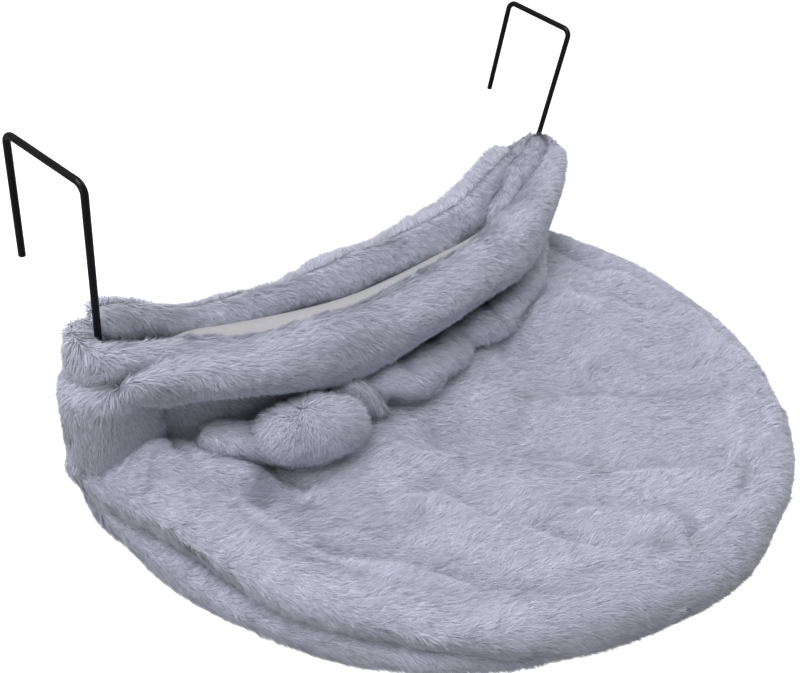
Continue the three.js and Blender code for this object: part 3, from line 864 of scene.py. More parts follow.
# The pile's colour from its tips down to its roots: the darker middle and root are painted shade deep in the
# pile
TIP_COLOUR = (0.50, 0.508, 0.615)
SHADED_MIDDLE_COLOUR = (0.455, 0.462, 0.56)
MIDDLE_PLACE = 0.38
SHADED_ROOT_COLOUR = (0.27, 0.272, 0.335)
TONE_RANGE = 0.7
TONE_LEAST = 0.65
# The backing is the pile's colour darkened: painted shade under the pile, mottled at random
SHADED_BACKING_DARK = (0.33, 0.333, 0.405)
SHADED_BACKING_LIGHT = (0.40, 0.403, 0.49)
# The knit's dark colour lands in the grooves of its ribs and stitches as painted shade; its mottle is its
# own random tone
KNIT_DARK = (0.23, 0.226, 0.245)
KNIT_LIGHT = (0.43, 0.425, 0.45)
RIB_RELIEF = 0.6
STITCH_RELIEF = 0.25
MOTTLE_RELIEF = 0.3
STEEL_DARK = (0.003, 0.003, 0.004)
STEEL_LIGHT = (0.008, 0.008, 0.010)
STEEL_ROUGHNESS = 0.22
STEEL_ROUGHNESS_RANGE = 0.16


def pile_paint():
    """Hairs, each in a tone of its own, darkened from the tip down to the root: painted shade deep in the
    pile.
    """
    paint = Paint("plush_pile", roughness=0.72, sheen_weight=0.25, sheen_roughness=0.55)
    place = paint.node("ShaderNodeUVMap", {"uv_map": "OFBake"}).outputs[0]
    parts = paint.node("ShaderNodeSeparateXYZ", None, {0: place})
    tone, height = paint.amount(parts, 0), paint.amount(parts, 1)
    # Darker towards the root: painted shade deep in the pile
    along = paint.node("ShaderNodeValToRGB", {"stops": [
        (0.0, SHADED_ROOT_COLOUR), (MIDDLE_PLACE, SHADED_MIDDLE_COLOUR), (1.0, TIP_COLOUR)]}, {0: height})
    toned = paint.node("ShaderNodeVectorMath", {"operation": "SCALE"},
                       {0: along.outputs[0], "Scale": tone * TONE_RANGE + TONE_LEAST})
    paint.set("Base Color", toned.outputs[0])
    return paint.material


def backing_paint():
    """The cloth between the hairs' roots, in the pile's colour darkened as painted shade under the pile,
    with a random mottle.
    """
    paint = Paint("plush_backing", roughness=0.95)
    where = paint.object_place()
    # Painted shade under the pile, with a random mottle between its two tones
    paint.set("Base Color", paint.mix(paint.noise(where, 160, detail=4), SHADED_BACKING_DARK, SHADED_BACKING_LIGHT))
    paint.set_bump(paint.noise(where, 900, detail=2), strength=0.6, distance=0.001)
    return paint.material


def knit_paint():
    """Warm grey knit with fine ribs along the strip and stitches across them, darker in their grooves: the
    knit's own pattern, with painted shade in the grooves.
    """
    paint = Paint("knit_lining", roughness=0.9, sheen_weight=0.15)
    place = paint.node("ShaderNodeUVMap", {"uv_map": "cloth"}).outputs[0]
    ribs = paint.node(
        "ShaderNodeTexWave", {"wave_type": "BANDS", "bands_direction": "Y"},
        {"Vector": place, "Scale": 9.0, "Distortion": 0.6, "Detail": 2.0, "Detail Scale": 6.0})
    stitches = paint.node(
        "ShaderNodeTexWave", {"wave_type": "BANDS", "bands_direction": "X"},
        {"Vector": place, "Scale": 70.0, "Distortion": 1.2, "Detail": 1.0})
    mottle = paint.noise(paint.object_place(), 90, detail=4)
    relief = paint.amount(ribs, 1) * RIB_RELIEF + paint.amount(stitches, 1) * STITCH_RELIEF
    relief = relief + mottle * MOTTLE_RELIEF
    # The colour follows the bump's relief, so the grooves carry painted shade
    paint.set("Base Color", paint.mix(relief, KNIT_DARK, KNIT_LIGHT))
    paint.set_bump(relief, strength=0.5, distance=0.0008)
    return paint.material


def steel_paint():
    """Gloss black powder coat, with the faint orange peel of such a coat."""
    paint = Paint("black_powder_coat", metallic=0.0, specular_ior_level=0.14)
    where = paint.object_place()
    wear = paint.noise(where, 60, detail=3)
    paint.set("Roughness", wear * STEEL_ROUGHNESS_RANGE + STEEL_ROUGHNESS)
    paint.set("Base Color", paint.mix(wear, STEEL_DARK, STEEL_LIGHT))
    paint.set_bump(paint.noise(where, 1400, detail=1), strength=0.12, distance=0.0002)
    return paint.material


PILE = pile_paint()
BACKING = backing_paint()
KNIT = knit_paint()
STEEL = steel_paint()


# The pile: tapered hairs in tufts, combed over a skin

def triangles_of(mesh):
    mesh.calc_loop_triangles()
    count = len(mesh.loop_triangles)
    corners = np.zeros(count * 3, np.int32)
    mesh.loop_triangles.foreach_get("vertices", corners)
    normals = np.zeros(len(mesh.vertices) * 3)
    mesh.vertices.foreach_get("normal", normals)
    return corners.reshape(-1, 3), coordinates(mesh), normals.reshape(-1, 3)


def sideways(points):
    """-1 at the bed's left end and 1 at its right end."""
    return np.clip(points[:, 0] / LOOP_HALF, -1, 1)


def scattered(mesh, density, keep, rng):
    """Random places on a skin with their normals, so many to the square metre."""
    corners, places, normals = triangles_of(mesh)
    a, b, c = (places[corners[:, i]] for i in range(3))
    areas = np.linalg.norm(np.cross(b - a, c - a), axis=1) / 2
    areas = areas * (1 - FINER_AT_LEFT * sideways(a))
    count = int(areas.sum() * density)
    picked = rng.choice(len(areas), count, p=areas / areas.sum())
    first, second = rng.random((2, count))
    turned = first + second > 1
    first[turned], second[turned] = 1 - first[turned], 1 - second[turned]
    weights = np.stack([1 - first - second, first, second], axis=1)
    points = np.einsum("ij,ijk->ik", weights, places[corners[picked]])
    ways = unit(np.einsum("ij,ijk->ik", weights, normals[corners[picked]]))
    held = keep(points, ways) if keep else np.ones(count, bool)
    return points[held], ways[held]


def hair_mesh(name, roots, tips, half, tones, shading):
    """One mesh of hairs. Each is a triangle, from its root's two sides to its tip."""
    count = len(roots)
    places = np.stack([roots - half, roots + half, tips], axis=1)
    mesh = bpy.data.meshes.new(name)
    mesh.vertices.add(count * 3)
    mesh.vertices.foreach_set("co", places.astype(np.float32).ravel())
    mesh.loops.add(count * 3)
    mesh.loops.foreach_set("vertex_index", np.arange(count * 3, dtype=np.int32))
    mesh.polygons.add(count)
    mesh.polygons.foreach_set("loop_start", np.arange(0, count * 3, 3, dtype=np.int32))
    mesh.update(calc_edges=True)
    foot, tip = np.zeros(count), np.ones(count)
    across = (tones - TONE_STRIP / 2, tones + TONE_STRIP / 2, tones)
    uv = np.stack([np.stack(pair, 1) for pair in zip(across, (foot, foot, tip))], axis=1)
    layer = mesh.uv_layers.new(name="OFBake")
    layer.data.foreach_set("uv", uv.astype(np.float32).ravel())
    mesh.normals_split_custom_set_from_vertices(np.repeat(shading, 3, axis=0).astype(np.float32))
    mesh.materials.append(PILE)
    return new_object(name, mesh)


def grow_pile(skin, comb, seed, density=HAIR_DENSITY, length=HAIR_LENGTH, width=HAIR_WIDTH,
              keep=None, lean=HAIR_LEAN, unruly=HAIR_UNRULY):
    """Hairs on a skin, as one piece or several. comb gives the way they are brushed."""
    rng = np.random.default_rng(seed)
    points, normals = scattered(skin.data, density, keep, rng)
    count = len(points)
    points = points + normals * rng.uniform(0, LAYERS_DEPTH, (count, 1))
    middle, luck = clumps(points, CLUMP_SIZE, seed)
    patch = soft_noise(points, PATCH_SIZE, seed + 3)
    wave = soft_noise(points, WAVE_SIZE, seed + 5)

    brushed = comb(points, normals)
    tangent = unit(brushed - (brushed * normals).sum(1, keepdims=True) * normals)
    aside = np.cross(normals, tangent)
    turn = (patch[:, 0] * TURN_BY["patch"] + wave[:, 0] * TURN_BY["wave"]
            + (luck[:, 0] - 0.5) * TURN_BY["tuft"] + rng.normal(0, unruly, count))[:, None]
    heading = tangent * np.cos(turn) + aside * np.sin(turn)
    tilt = (lean + patch[:, 1] * TILT_BY["patch"] + wave[:, 1] * TILT_BY["wave"]
            + (luck[:, 1] - 0.5) * TILT_BY["tuft"] + rng.normal(0, TILT_BY["hair"], count))
    tilt = np.clip(tilt, LEAST_TILT, MOST_TILT)[:, None]
    longer = (LENGTH_SHARE + LENGTH_BY["tuft"] * luck[:, 2]
              + rng.normal(0, LENGTH_BY["hair"], count) + patch[:, 2] * LENGTH_BY["patch"])
    reach = length * longer[:, None]

    tips = points + reach * (normals * np.cos(tilt) + heading * np.sin(tilt))
    drawn = middle - points
    drawn = drawn - (drawn * normals).sum(1, keepdims=True) * normals
    tips = tips + drawn * CLUMP_DRAW
    side = unit(np.cross(heading, normals) + normals * rng.normal(0, SIDE_TWIST, (count, 1))
                + heading * rng.normal(0, SIDE_TWIST, (count, 1)))
    wider = width / 2 * (1 + FINER_AT_LEFT * sideways(points))
    half = side * (wider * rng.uniform(THINNEST_SHARE, THICKEST_SHARE, count))[:, None]

    tones = 0.5 + (luck[:, 1] - 0.5) * TONE_BY["tuft"] + rng.normal(0, TONE_BY["hair"], count)
    tones = np.clip(tones, TONE_MARGIN, 1 - TONE_MARGIN)
    own = unit(np.cross(side, tips - points))
    shading = unit(normals * SKIN_SHADING + own * (1 - SKIN_SHADING) + heading * HEADING_SHADING)

    parts = max(1, math.ceil(count / MOST_HAIRS))
    order = np.argsort(points[:, 0], kind="stable")
    made = []
    for i, chosen in enumerate(np.array_split(order, parts)):
        name = f"{skin.name}_pile" + (f"_{i + 1}" if parts > 1 else "")
        made.append(hair_mesh(name, points[chosen], tips[chosen], half[chosen], tones[chosen],
                              shading[chosen]))
    return made


def dress(skin, pile, node):
    """Puts a skin and its pile on the root body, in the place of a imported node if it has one."""
    for piece in [skin, *pile]:
        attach(piece, ROOT)
    if node:
        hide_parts(node)


def pad(bm, name, node, comb, seed, fill, voxel=CLOTH_VOXEL, **growth):
    """A padded piece of the cover. It is filled as cloth where it has a voxel size."""
    skin = finish_mesh(bm, name, BACKING)
    if voxel:
        blown_up(skin, voxel)
    pile = grow_pile(skin, comb, seed, **growth)
    dress(skin, pile, node)


def hung_sheet(bm, name, node, towards, comb, seed, evened=0, **growth):
    """A sheet of the cover with its pile on the side that looks towards the given way."""
    face_towards(bm, towards)
    inset_skin(bm, PILE_INSET, evened)
    skin = finish_mesh(bm, name, BACKING)
    pile = grow_pile(skin, comb, seed, **growth)
    thicken(skin, BACKING_THICKNESS)
    dress(skin, pile, node)
    return skin, pile


# Ways the pile is brushed

def bed_way(across, out, up):
    """A way given in the bed's coordinates, as x, y, z."""
    return bed(across, out, up) - bed(0, 0, 0)


def comb_along(across, out, up):
    """One way all over, given in the bed's coordinates."""
    way = bed_way(across, out, up)
    return lambda points, normals: np.broadcast_to(way, points.shape)


def comb_bed(points, normals):
    """To the right and to the front over the whole bed, and a little down at its side."""
    steep = 1 - np.abs(normals[:, 2])
    return bed_way(0.75, 0.6, -0.35 * steep)


# Steel frame

def only(kind, geometry):
    return [g for g in geometry if isinstance(g, kind)]


def bend_wire(name, corners):
    """A round wire along straight runs, with every corner spun round its own centre."""
    bm = bmesh.new()
    heading = (corners[1] - corners[0]).normalized()
    turn = heading.to_track_quat("Z", "Y").to_matrix().to_4x4()
    bmesh.ops.create_circle(bm, cap_ends=False, segments=WIRE_SIDES, radius=WIRE_RADIUS,
                            matrix=Matrix.Translation(corners[0]) @ turn)
    edges = list(bm.edges)
    here = corners[0]
    for i in range(1, len(corners)):
        run = (corners[i] - corners[i - 1]).normalized()
        last = i + 1 == len(corners)
        angle = 0 if last else run.angle(corners[i + 1] - corners[i])
        goal = corners[i] - run * BEND_RADIUS * math.tan(angle / 2)
        grown = bmesh.ops.extrude_edge_only(bm, edges=edges)["geom"]
        verts = only(bmesh.types.BMVert, grown)
        bmesh.ops.translate(bm, verts=verts, vec=goal - here)
        edges = [e for e in only(bmesh.types.BMEdge, grown) if all(v in verts for v in e.verts)]
        here = goal
        if last:
            break
        following = (corners[i + 1] - corners[i]).normalized()
        axis = run.cross(following).normalized()
        centre = here + axis.cross(run) * BEND_RADIUS
        spun = bmesh.ops.spin(bm, geom=edges + verts, cent=centre, axis=axis, angle=angle,
                              steps=BEND_STEPS, use_duplicate=False)["geom_last"]
        edges = only(bmesh.types.BMEdge, spun)
        here = Matrix.Rotation(angle, 3, axis) @ (here - centre) + centre
    close_ends(bm)
    rims = [e for e in bm.edges if e.calc_face_angle(0) > WIRE_END_ANGLE]
    bmesh.ops.bevel(bm, geom=rims, offset=WIRE * WIRE_END_BEVEL_SHARE, segments=2, affect="EDGES",
                    profile=0.5, material=-1)
    return finish_mesh(bm, name, STEEL)


def make_hooks():
    for name, side in (("left", -1), ("right", 1)):
        back_x = side * HOOK_BACK_X
        corners = [
            Vector((back_x, BAR_BACK_Y, BACK_LEG_FOOT_Z)),
            Vector((back_x, BAR_BACK_Y, WIRE_RADIUS)),
            Vector((side * HOOK_X, BAR_FRONT_Y, WIRE_RADIUS)),
            Vector(bed(side * LOOP_HALF, 0, 0)),
            Vector(bed(side * LOOP_HALF, STUB_LENGTH, 0)),
        ]
        hook = bend_wire(f"hook_{name}_wire", corners)
        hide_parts(f"hook_rod_{name}")
        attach(hook, ROOT)
    for node in ("loop_rod", "joint_sleeve_left", "joint_sleeve_right", "rear_spreader_bar"):
        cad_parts[node].data.materials.clear()
        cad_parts[node].data.materials.append(STEEL)


# The bed: sleeping panel, rim and under panel

def make_sleeping_panel():
    def place(column, row):
        half, front_half = LOOP_HALF - PANEL_EDGE_INSIDE, LOOP_FRONT - PANEL_EDGE_INSIDE
        across = half * np.sin((column - 0.5) * math.pi)
        share = np.clip(across / half, -1, 1)
        front = LOOP_STRAIGHT + front_half * np.sqrt(1 - share ** 2)
        rear = roll_out(across) - PANEL_UNDER_ROLL
        out = lerp(rear, front, row)
        outward, _ = near_loop(across, out)
        tuck = PANEL_TUCK * smooth((outward + PANEL_EDGE_INSIDE + PANEL_TUCK_RUN) / PANEL_TUCK_RUN)
        return bed(across, out, cover_height(across, out) - tuck)

    bm = shaped_grid(140, 100, place)
    skin, pile = hung_sheet(bm, "sleeping_panel_skin", "sleeping_panel", (0, 0, 1), comb_bed, 101, evened=1)


def make_rim():
    def place(column, row):
        """Column runs round the rim's section, row along the loop."""
        angle = column * 2 * math.pi
        angle = np.where(angle > math.pi, angle - 2 * math.pi, angle)
        start, way = on_loop(row)
        wide, high, deep = rim_sizes(row)
        loose = RIM_WAVE * np.sin(row * 2 * math.pi * RIM_WAVES + angle * RIM_WAVE_TURN)
        outward = (wide + loose * (np.cos(angle) > 0)) * np.cos(angle)
        bulge = SHOULDER_BULGE * shoulder_at(row) * np.clip(np.cos(angle), 0, 1)
        across = start[:, 0] + way[:, 0] * (outward + bulge)
        out = start[:, 1] + way[:, 1] * (outward + bulge)
        low = deep * np.sin(angle)
        rounded = top_height(across, out, np.clip(outward, -wide, wide * RIM_JUST_INSIDE_SHARE), row)
        upper = smooth(np.sin(angle) * RIM_UPPER_TURN + (np.cos(angle) < 0))
        fold = fold_rise(across, out)
        outer = smooth(np.cos(angle) * RIM_OUTER_TURN)
        fold = lerp(fold, np.clip(fold, -RIM_CREASE, RIM_RIDGE), outer)
        top = np.maximum(rounded + fold * upper, low + RIM_LEAST_HEIGHT)
        up = np.where(angle >= 0, top, low)
        closed = rounded_ends(row, RIM_END_SHARE, RIM_END_LEAST)
        across = start[:, 0] + (across - start[:, 0]) * closed
        out = start[:, 1] + (out - start[:, 1]) * closed
        return bed(across, out, up * closed)

    def seen(points, normals):
        across, out, _ = plan(points)
        outward, _ = near_loop(across, out)
        covered = (outward < RIM_PANEL_SIDE) & (out > ROLL_REACH)
        return ~(covered | ((outward < RIM_UNDER_SIDE) & (normals[:, 2] < RIM_LOOKS_DOWN)))

    bm = closed_skin(60, 300, place, evened=3)
    pad(bm, "rim_sleeve_skin", "rim_sleeve", comb_bed, 202, 0.5, voxel=None, keep=seen)


def under_edge(share):
    """The under panel's outline: round the front from left to right, and back along the rear."""
    half, front = LOOP_HALF + RIM_HALF_WIDTH, LOOP_FRONT + RIM_HALF_WIDTH
    cut = EDGE_CORNER * EDGE_CORNER_CUT_SHARE
    right, left = (
        [(side * half, UNDER_REAR + EDGE_CORNER), (side * (half - cut), UNDER_REAR + cut),
         (side * (half - EDGE_CORNER), UNDER_REAR)]
        for side in (1, -1)
    )
    route = np.concatenate([left[:1], half_ellipse(half, front, EDGE_STEPS), right, left[::-1]])
    travel = travel_along(route)
    goal = np.clip(share, 0, 1) * travel[-1]
    before, after = ((goal + step) % travel[-1] for step in (-EDGE_TURN_STEP, EDGE_TURN_STEP))
    return on_route(route, travel, goal, before, after)


def make_under_panel():
    """The belly: a sheet whose edge goes into its own rolled edge."""
    def place(column, row):
        """Column runs round the edge, row from the middle of the belly out."""
        start, way = under_edge(column)
        across = lerp(0, start[:, 0] - way[:, 0] * EDGE_HALF_WIDTH, row)
        out = lerp(BELLY_MIDDLE, start[:, 1] - way[:, 1] * EDGE_HALF_WIDTH, row)
        near = nearness(across, out, -RIM_HALF_WIDTH)
        drop = BELLY_DROP * np.clip(1 - near * near, 0, 1) ** BELLY_POWER
        drop = drop * smooth((out - UNDER_REAR) / BELLY_RUN)
        folds = soft_noise(np.stack([across, out, across * 0], 1), BELLY_FOLD_SIZE, seed=31)[:, 0]
        folds = BELLY_FOLD * folds * smooth((1 - row) * BELLY_FOLD_FADE + BELLY_FOLD_LEAST)
        return bed(across, out, -RIM_HALF_HEIGHT - PLUSH_THICKNESS - drop + folds)

    bm = shaped_grid(170, 36, place, wrap=True)
    skin, pile = hung_sheet(bm, "under_panel_skin", "under_panel", (0, 0, -1), comb_bed, 304,
                            density=UNDER_HAIR_DENSITY, width=HAIR_WIDTH * UNDER_HAIR_WIDER)


def make_under_edge():
    """The under panel's rolled edge, which hangs in swags from the rim."""
    def place(column, row):
        angle = column * 2 * math.pi
        start, way = on_loop(row)
        swag = SWAG_DROP * (0.5 + 0.5 * np.cos(row * 2 * math.pi * SWAG_COUNT)) * (1 - front_at(row))
        left, middle, right = (hump(row, share, spread) for share, spread in EDGE_STRETCHES)
        aside = EDGE_ASIDE - EDGE_TUCK * front_at(row) + EDGE_HALF_WIDTH * np.cos(angle)
        bulge = SHOULDER_BULGE * shoulder_at(row) + EDGE_OUT_LEFT * left + EDGE_OUT_RIGHT * right
        aside = aside + bulge * smooth(row / EDGE_START_SHARE)
        centre = EDGE_CENTRE + EDGE_LIFT * middle - EDGE_SINK * (left + right)
        up = centre - swag / 2 + (EDGE_HALF_HEIGHT + swag / 2) * np.sin(angle)
        closed = rounded_ends(row, RIM_END_SHARE, RIM_END_LEAST)
        return bed(start[:, 0] + way[:, 0] * aside * closed, start[:, 1] + way[:, 1] * aside * closed,
                   EDGE_CENTRE + (up - EDGE_CENTRE) * closed)

    def seen(points, normals):
        outward, _ = near_loop(*plan(points)[:2])
        return (outward > 0) | (normals[:, 2] < EDGE_LOOKS_DOWN)

    bm = closed_skin(48, 300, place)
    pad(bm, "under_panel_edge_skin", None, comb_bed, 303, 0.5, voxel=CLOTH_VOXEL_LARGE, keep=seen)


# The band round the mouth

def level_stops(from_across, to_across, count, at):
    """Stops of a level roll, whose out, up and radii are given by at for each across."""
    return [(across, *at(across), 0) for across in np.linspace(from_across, to_across, count)]


def make_front_roll():
    """The roll, with a wedge at each end that runs out on the wall round the leg."""
    def at(across):
        return roll_out(across), roll_up(across), roll_radius(across), roll_radius(across)

    stops = [(-0.2700, 0.0345, 0.0905, 0.004, 0.004, 0), (-0.2600, 0.0390, 0.0910, 0.010, 0.011, 0),
             (-0.2440, 0.0430, 0.0900, 0.015, 0.017, 0)]
    stops += level_stops(-0.218, 0.222, 14, at)
    stops += [(0.2440, 0.0350, 0.0990, 0.017, 0.021, 0), (0.2590, 0.0280, 0.1040, 0.012, 0.019, 0),
              (0.2680, 0.0210, 0.1080, 0.006, 0.013, 0)]

    def comb(points, normals):
        """Down over the roll's front, with a touch to the right."""
        across, out, up = plan(points)
        return bed_way(0.03, up - roll_up(across), roll_out(across) - out)

    def seen(points, normals):
        return normals[:, 2] > ROLL_LOOKS_DOWN

    ripple = waves((0.0022, 26, 3, 0), (0.0016, -41, 2, 0), (0.0018, 47, 0, 1.2))
    bm = soft_roll(stops, 44, 190, ripple)
    pad(bm, "front_roll_skin", "front_hem_roll", comb, 404, 0.7, voxel=CLOTH_VOXEL_LARGE, keep=seen)


def make_mouth_folds():
    """The tapered folds that close the mouth at its two ends, above the roll."""
    left = [(-0.2780, 0.012, 0.1070, 0.006, 0.007, 0), (-0.2660, 0.024, 0.1090, 0.011, 0.011, -0.3),
            (-0.2400, 0.036, 0.1045, 0.011, 0.010, -0.4), (-0.2120, 0.043, 0.1000, 0.010, 0.009, -0.4),
            (-0.1850, 0.050, 0.0930, 0.007, 0.006, -0.3), (-0.1640, 0.057, 0.0880, 0.003, 0.003, 0)]
    right = [(0.2640, 0.008, 0.1150, 0.008, 0.010, 0), (0.2480, 0.016, 0.1120, 0.014, 0.015, -0.3),
             (0.2200, 0.023, 0.1020, 0.015, 0.016, -0.3), (0.1860, 0.030, 0.0890, 0.013, 0.014, -0.3),
             (0.1450, 0.038, 0.0760, 0.006, 0.007, 0)]
    for name, stops, comb, seed in (("left", left, comb_along(0.8, 0.5, -0.3), 415),
                                    ("right", right, comb_along(-0.6, 0.5, -0.6), 416)):
        bm = soft_roll(stops, 28, 60, waves((0.0008, 120, 2, 0)))
        pad(bm, f"mouth_fold_{name}_skin", None, comb, seed, 0.6, voxel=None)


def make_rear_hem():
    def at(across):
        half = hem_height(across) / 2
        middle = hem_out(across) + HEM_FORWARD + HEM_SWAY * math.sin(across * HEM_SWAYS)
        return (middle, hem_top(across) - half * HEM_HANG_SHARE + HEM_RAISE,
                HEM_DEPTH / 2 + HEM_MORE_DEPTH, half)

    def ripple(across, angle):
        groove = HEM_GROOVE * hump(angle, HEM_GROOVE_ANGLE, HEM_GROOVE_SPREAD)
        groove = groove * smooth((across - HEM_GROOVE_START) / HEM_GROOVE_RUN)
        return waves((0.0016, 55, 2, 0))(across, angle) - groove

    def comb(points, normals):
        """Down over both sides of the hem."""
        across, out, up = plan(points)
        return bed_way(0.25, np.sign(out - hem_out(across)) * 0.5, -0.8)

    stops = [(*stop[:5], HEM_LEAN) for stop in level_stops(-0.256, 0.250, 15, at)]
    bm = soft_roll(stops, 44, 170, ripple)
    pad(bm, "rear_hem_skin", "rear_hem", comb, 505, 0.6, voxel=CLOTH_VOXEL_LARGE,
        density=HEM_HAIR_DENSITY)


def make_bands():
    def front_place(column, row):
        across = (BAND_HALF + FRONT_OVERLAP) * (2 * column - 1)
        high = roll_up(across) - roll_radius(across)
        fold = FRONT_FOLD * np.sin(across * FRONT_FOLDS) * np.sin(row * math.pi)
        return bed(across, roll_out(across) + fold, lerp(-PLUSH_THICKNESS, high, row))

    def rear_place(column, row):
        across = (BAND_HALF + REAR_OVERLAP) * (2 * column - 1)
        past = (np.abs(across) - BAND_HALF + REAR_OVERLAP) / REAR_OVERLAP
        high = hem_top(across) - hem_height(across) * REAR_TOP_SHARE - REAR_END_DROP * smooth(past / 2)
        fold = REAR_FOLD * np.sin(across * REAR_FOLDS + REAR_FOLD_START) * np.sin(row * math.pi)
        out = -WIRE_RADIUS - PLUSH_THICKNESS - REAR_STEP * smooth(past) + fold
        return bed(across, out, lerp(-RIM_HALF_HEIGHT - REAR_STEP, high, row))

    for name, place, towards, comb, seed, density, flat in (
        ("front_band", front_place, (0, -1, 0), comb_along(0.5, 0.2, -0.8), 606, 2.2e6, (0.48, 0.06)),
        ("rear_band", rear_place, (0, 1, 0), comb_along(0.3, 0, -0.9), 707, 1.7e6, (0.48, 0.085)),
    ):
        bm = shaped_grid(100, 18, place)
        skin, pile = hung_sheet(bm, f"{name}_skin", name, towards, comb, seed, density=density)


# Each end's shape: the top's height round the leg from the wall side to the bed side, how far the
# wall stands from the leg at five heights, and the depth and height of its crease
END_LEFT = {"tops": (0.128, 0.130, 0.129, 0.121, 0.109), "reach": (0.037, 0.037, 0.036, 0.031, 0.024),
            "crease": 0.006, "crease_up": 0.093}
END_RIGHT = {"tops": (0.118, 0.125, 0.128, 0.126, 0.118), "reach": (0.033, 0.029, 0.021, 0.014, 0.011),
             "crease": 0.0, "crease_up": 0.093}

# The section of an end's wall: share of the way round it, then how far out from the leg to the
# wall, and how far up from its foot to its top
END_SECTION = [(0.0, 0.60, 0.02), (0.05, 0.97, 0.0), (0.10, 1.0, 0.08), (0.50, 1.0, 0.88),
               (0.56, 0.96, 0.96), (0.62, 0.84, 1.0), (0.70, 0.62, 0.985), (0.78, 0.36, 0.93),
               (0.85, 0.14, 0.88), (0.90, 0.12, 0.80), (1.0, 0.60, 0.02)]


def make_band_end(name, side, shape):
    """The wall round a leg: a thick soft lip that closes over onto the leg."""
    sections = np.array(END_SECTION).T

    def place(column, row):
        """Row runs round the leg, column round the wall's own section: out, over and in."""
        straight = LOOP_HALF - BAND_HALF
        reach_share = np.interp(column, sections[0], sections[1])
        up_share = np.interp(column, sections[0], sections[2])
        top = curve_through(row, np.linspace(0, 1, 5), np.array(shape["tops"]))
        up = lerp(END_LOW, top, up_share)
        reach = np.interp(up, np.linspace(*END_REACH_HEIGHTS, 5), shape["reach"])
        arc = math.pi * END_TURN_WIDTH / 2
        travel = row * (2 * straight + arc)
        angle = math.pi * (np.clip(travel, straight, straight + arc) - straight) / arc - math.pi / 2
        inward = np.maximum(straight - travel, 0) + np.maximum(travel - straight - arc, 0)
        lean = (HOOK_X - LOOP_HALF) * up / LEG_LENGTH
        leg_out = LEG_LEAN_OUT * up
        valley = END_VALLEY * (inward / straight) * smooth((1 - reach_share) * 2)
        crease = shape["crease"] * hump(up, shape["crease_up"], END_CREASE_WIDTH)
        crease = crease * (column < END_OUTSIDE_SHARE)
        shallow = smooth((up - END_TOP_START) / END_TOP_RUN)
        depth = lerp(END_HALF_DEPTH, END_HALF_DEPTH * END_TOP_DEPTH_SHARE, shallow)
        wall_across = (reach - crease) * np.cos(angle)
        wall_out = END_MIDDLE - leg_out + (depth - crease) * np.sin(angle)
        across = LOOP_HALF + lean - inward + wall_across * reach_share
        out = leg_out + wall_out * reach_share
        return bed(side * across, out, up - valley)

    star = bed(side * STAR_PLACE[0], STAR_PLACE[1], STAR_PLACE[2])

    def comb(points, normals):
        """Down, and at the left end away from the star where the roll runs out."""
        far = np.linalg.norm(points - star, axis=1)
        near = STAR_PULL * np.exp(-far / STAR_SPREAD)[:, None] * (side < 0)
        return unit(points - star) * near + bed_way(-side * 0.15, 0.2, -0.9) * (1 - near)

    def outer(points, normals):
        return normals[:, 0] * side > END_LOOKS_IN

    bm = closed_skin(96, 90, place)
    pad(bm, f"band_end_{name}_skin", f"band_end_{name}", comb, 808 + side, 0.4, keep=outer)


def make_lining():
    """The knit strip, which comes out from under the rear hem and goes in behind the roll."""
    def place(column, row):
        across = LINING_HALF * (2 * column - 1)
        dropped = smooth((across - LINING_DROP_START) / LINING_DROP_RUN)
        rear_out = hem_out(across) + WIRE
        rear_up = hem_top(across) - hem_height(across) * lerp(*LINING_DROP_SHARES, dropped)
        front_out = roll_out(across) - roll_radius(across) * LINING_FRONT_SHARE
        front_up = roll_up(across) + roll_radius(across) * LINING_FRONT_RISE_SHARE
        crown = LINING_CROWN * 4 * row * (1 - row)
        wide = smooth((across + LINING_HALF) / LINING_LEFT_RUN)
        wide = wide * smooth((LINING_RIGHT_END - across) / LINING_RIGHT_RUN)
        row = 1 - (1 - row) * lerp(LINING_END_SHARE, 1, wide)
        return bed(across, lerp(rear_out, front_out, row), lerp(rear_up, front_up, row) + crown)

    bm = shaped_grid(120, 20, place)
    face_towards(bm, (0, 0, 1))
    skin = finish_mesh(bm, "mouth_lining_knit", KNIT)
    thicken(skin, KNIT_THICKNESS)
    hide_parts("mouth_lining")
    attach(skin, ROOT)


# Gathers

def make_ruffle():
    """Two overlapping tongues of the cover that look out from under the roll."""
    def ripple(across, angle):
        scallop = waves((0.0016, 150, 0, 0))(across, angle) * np.maximum(-np.cos(angle), 0)
        return scallop + waves((0.0010, 90, 1, 0))(across, angle)

    def tongue(from_across, to_across, outs, ups, widths):
        places = np.linspace(from_across, to_across, len(outs))
        return [(a, roll_out(a) + out, up, wide,
                 min(TONGUE_MOST_HALF_HEIGHT, wide * TONGUE_HEIGHT_SHARE), TONGUE_TILT)
                for a, out, up, wide in zip(places, outs, ups, widths)]

    left = tongue(-0.104, 0.056, (0.016, 0.020, 0.024, 0.024, 0.022, 0.018, 0.012),
                  (0.030, 0.028, 0.025, 0.023, 0.021, 0.018, 0.016),
                  (0.012, 0.020, 0.024, 0.023, 0.021, 0.016, 0.006))
    right = tongue(0.006, 0.216, (0.012, 0.020, 0.022, 0.021, 0.020, 0.016, 0.012),
                   (0.026, 0.024, 0.021, 0.022, 0.027, 0.036, 0.048),
                   (0.008, 0.018, 0.021, 0.020, 0.019, 0.016, 0.008))
    bm = soft_roll(left, 34, 100, ripple)
    pad(bm, "gather_ruffle_skin", "gather_ruffle", comb_along(0.25, 0.8, -0.5), 909, 0.4)
    bm = soft_roll(right, 34, 120, ripple)
    pad(bm, "gather_ruffle_right_skin", None, comb_along(0.35, 0.8, -0.5), 910, 0.4)


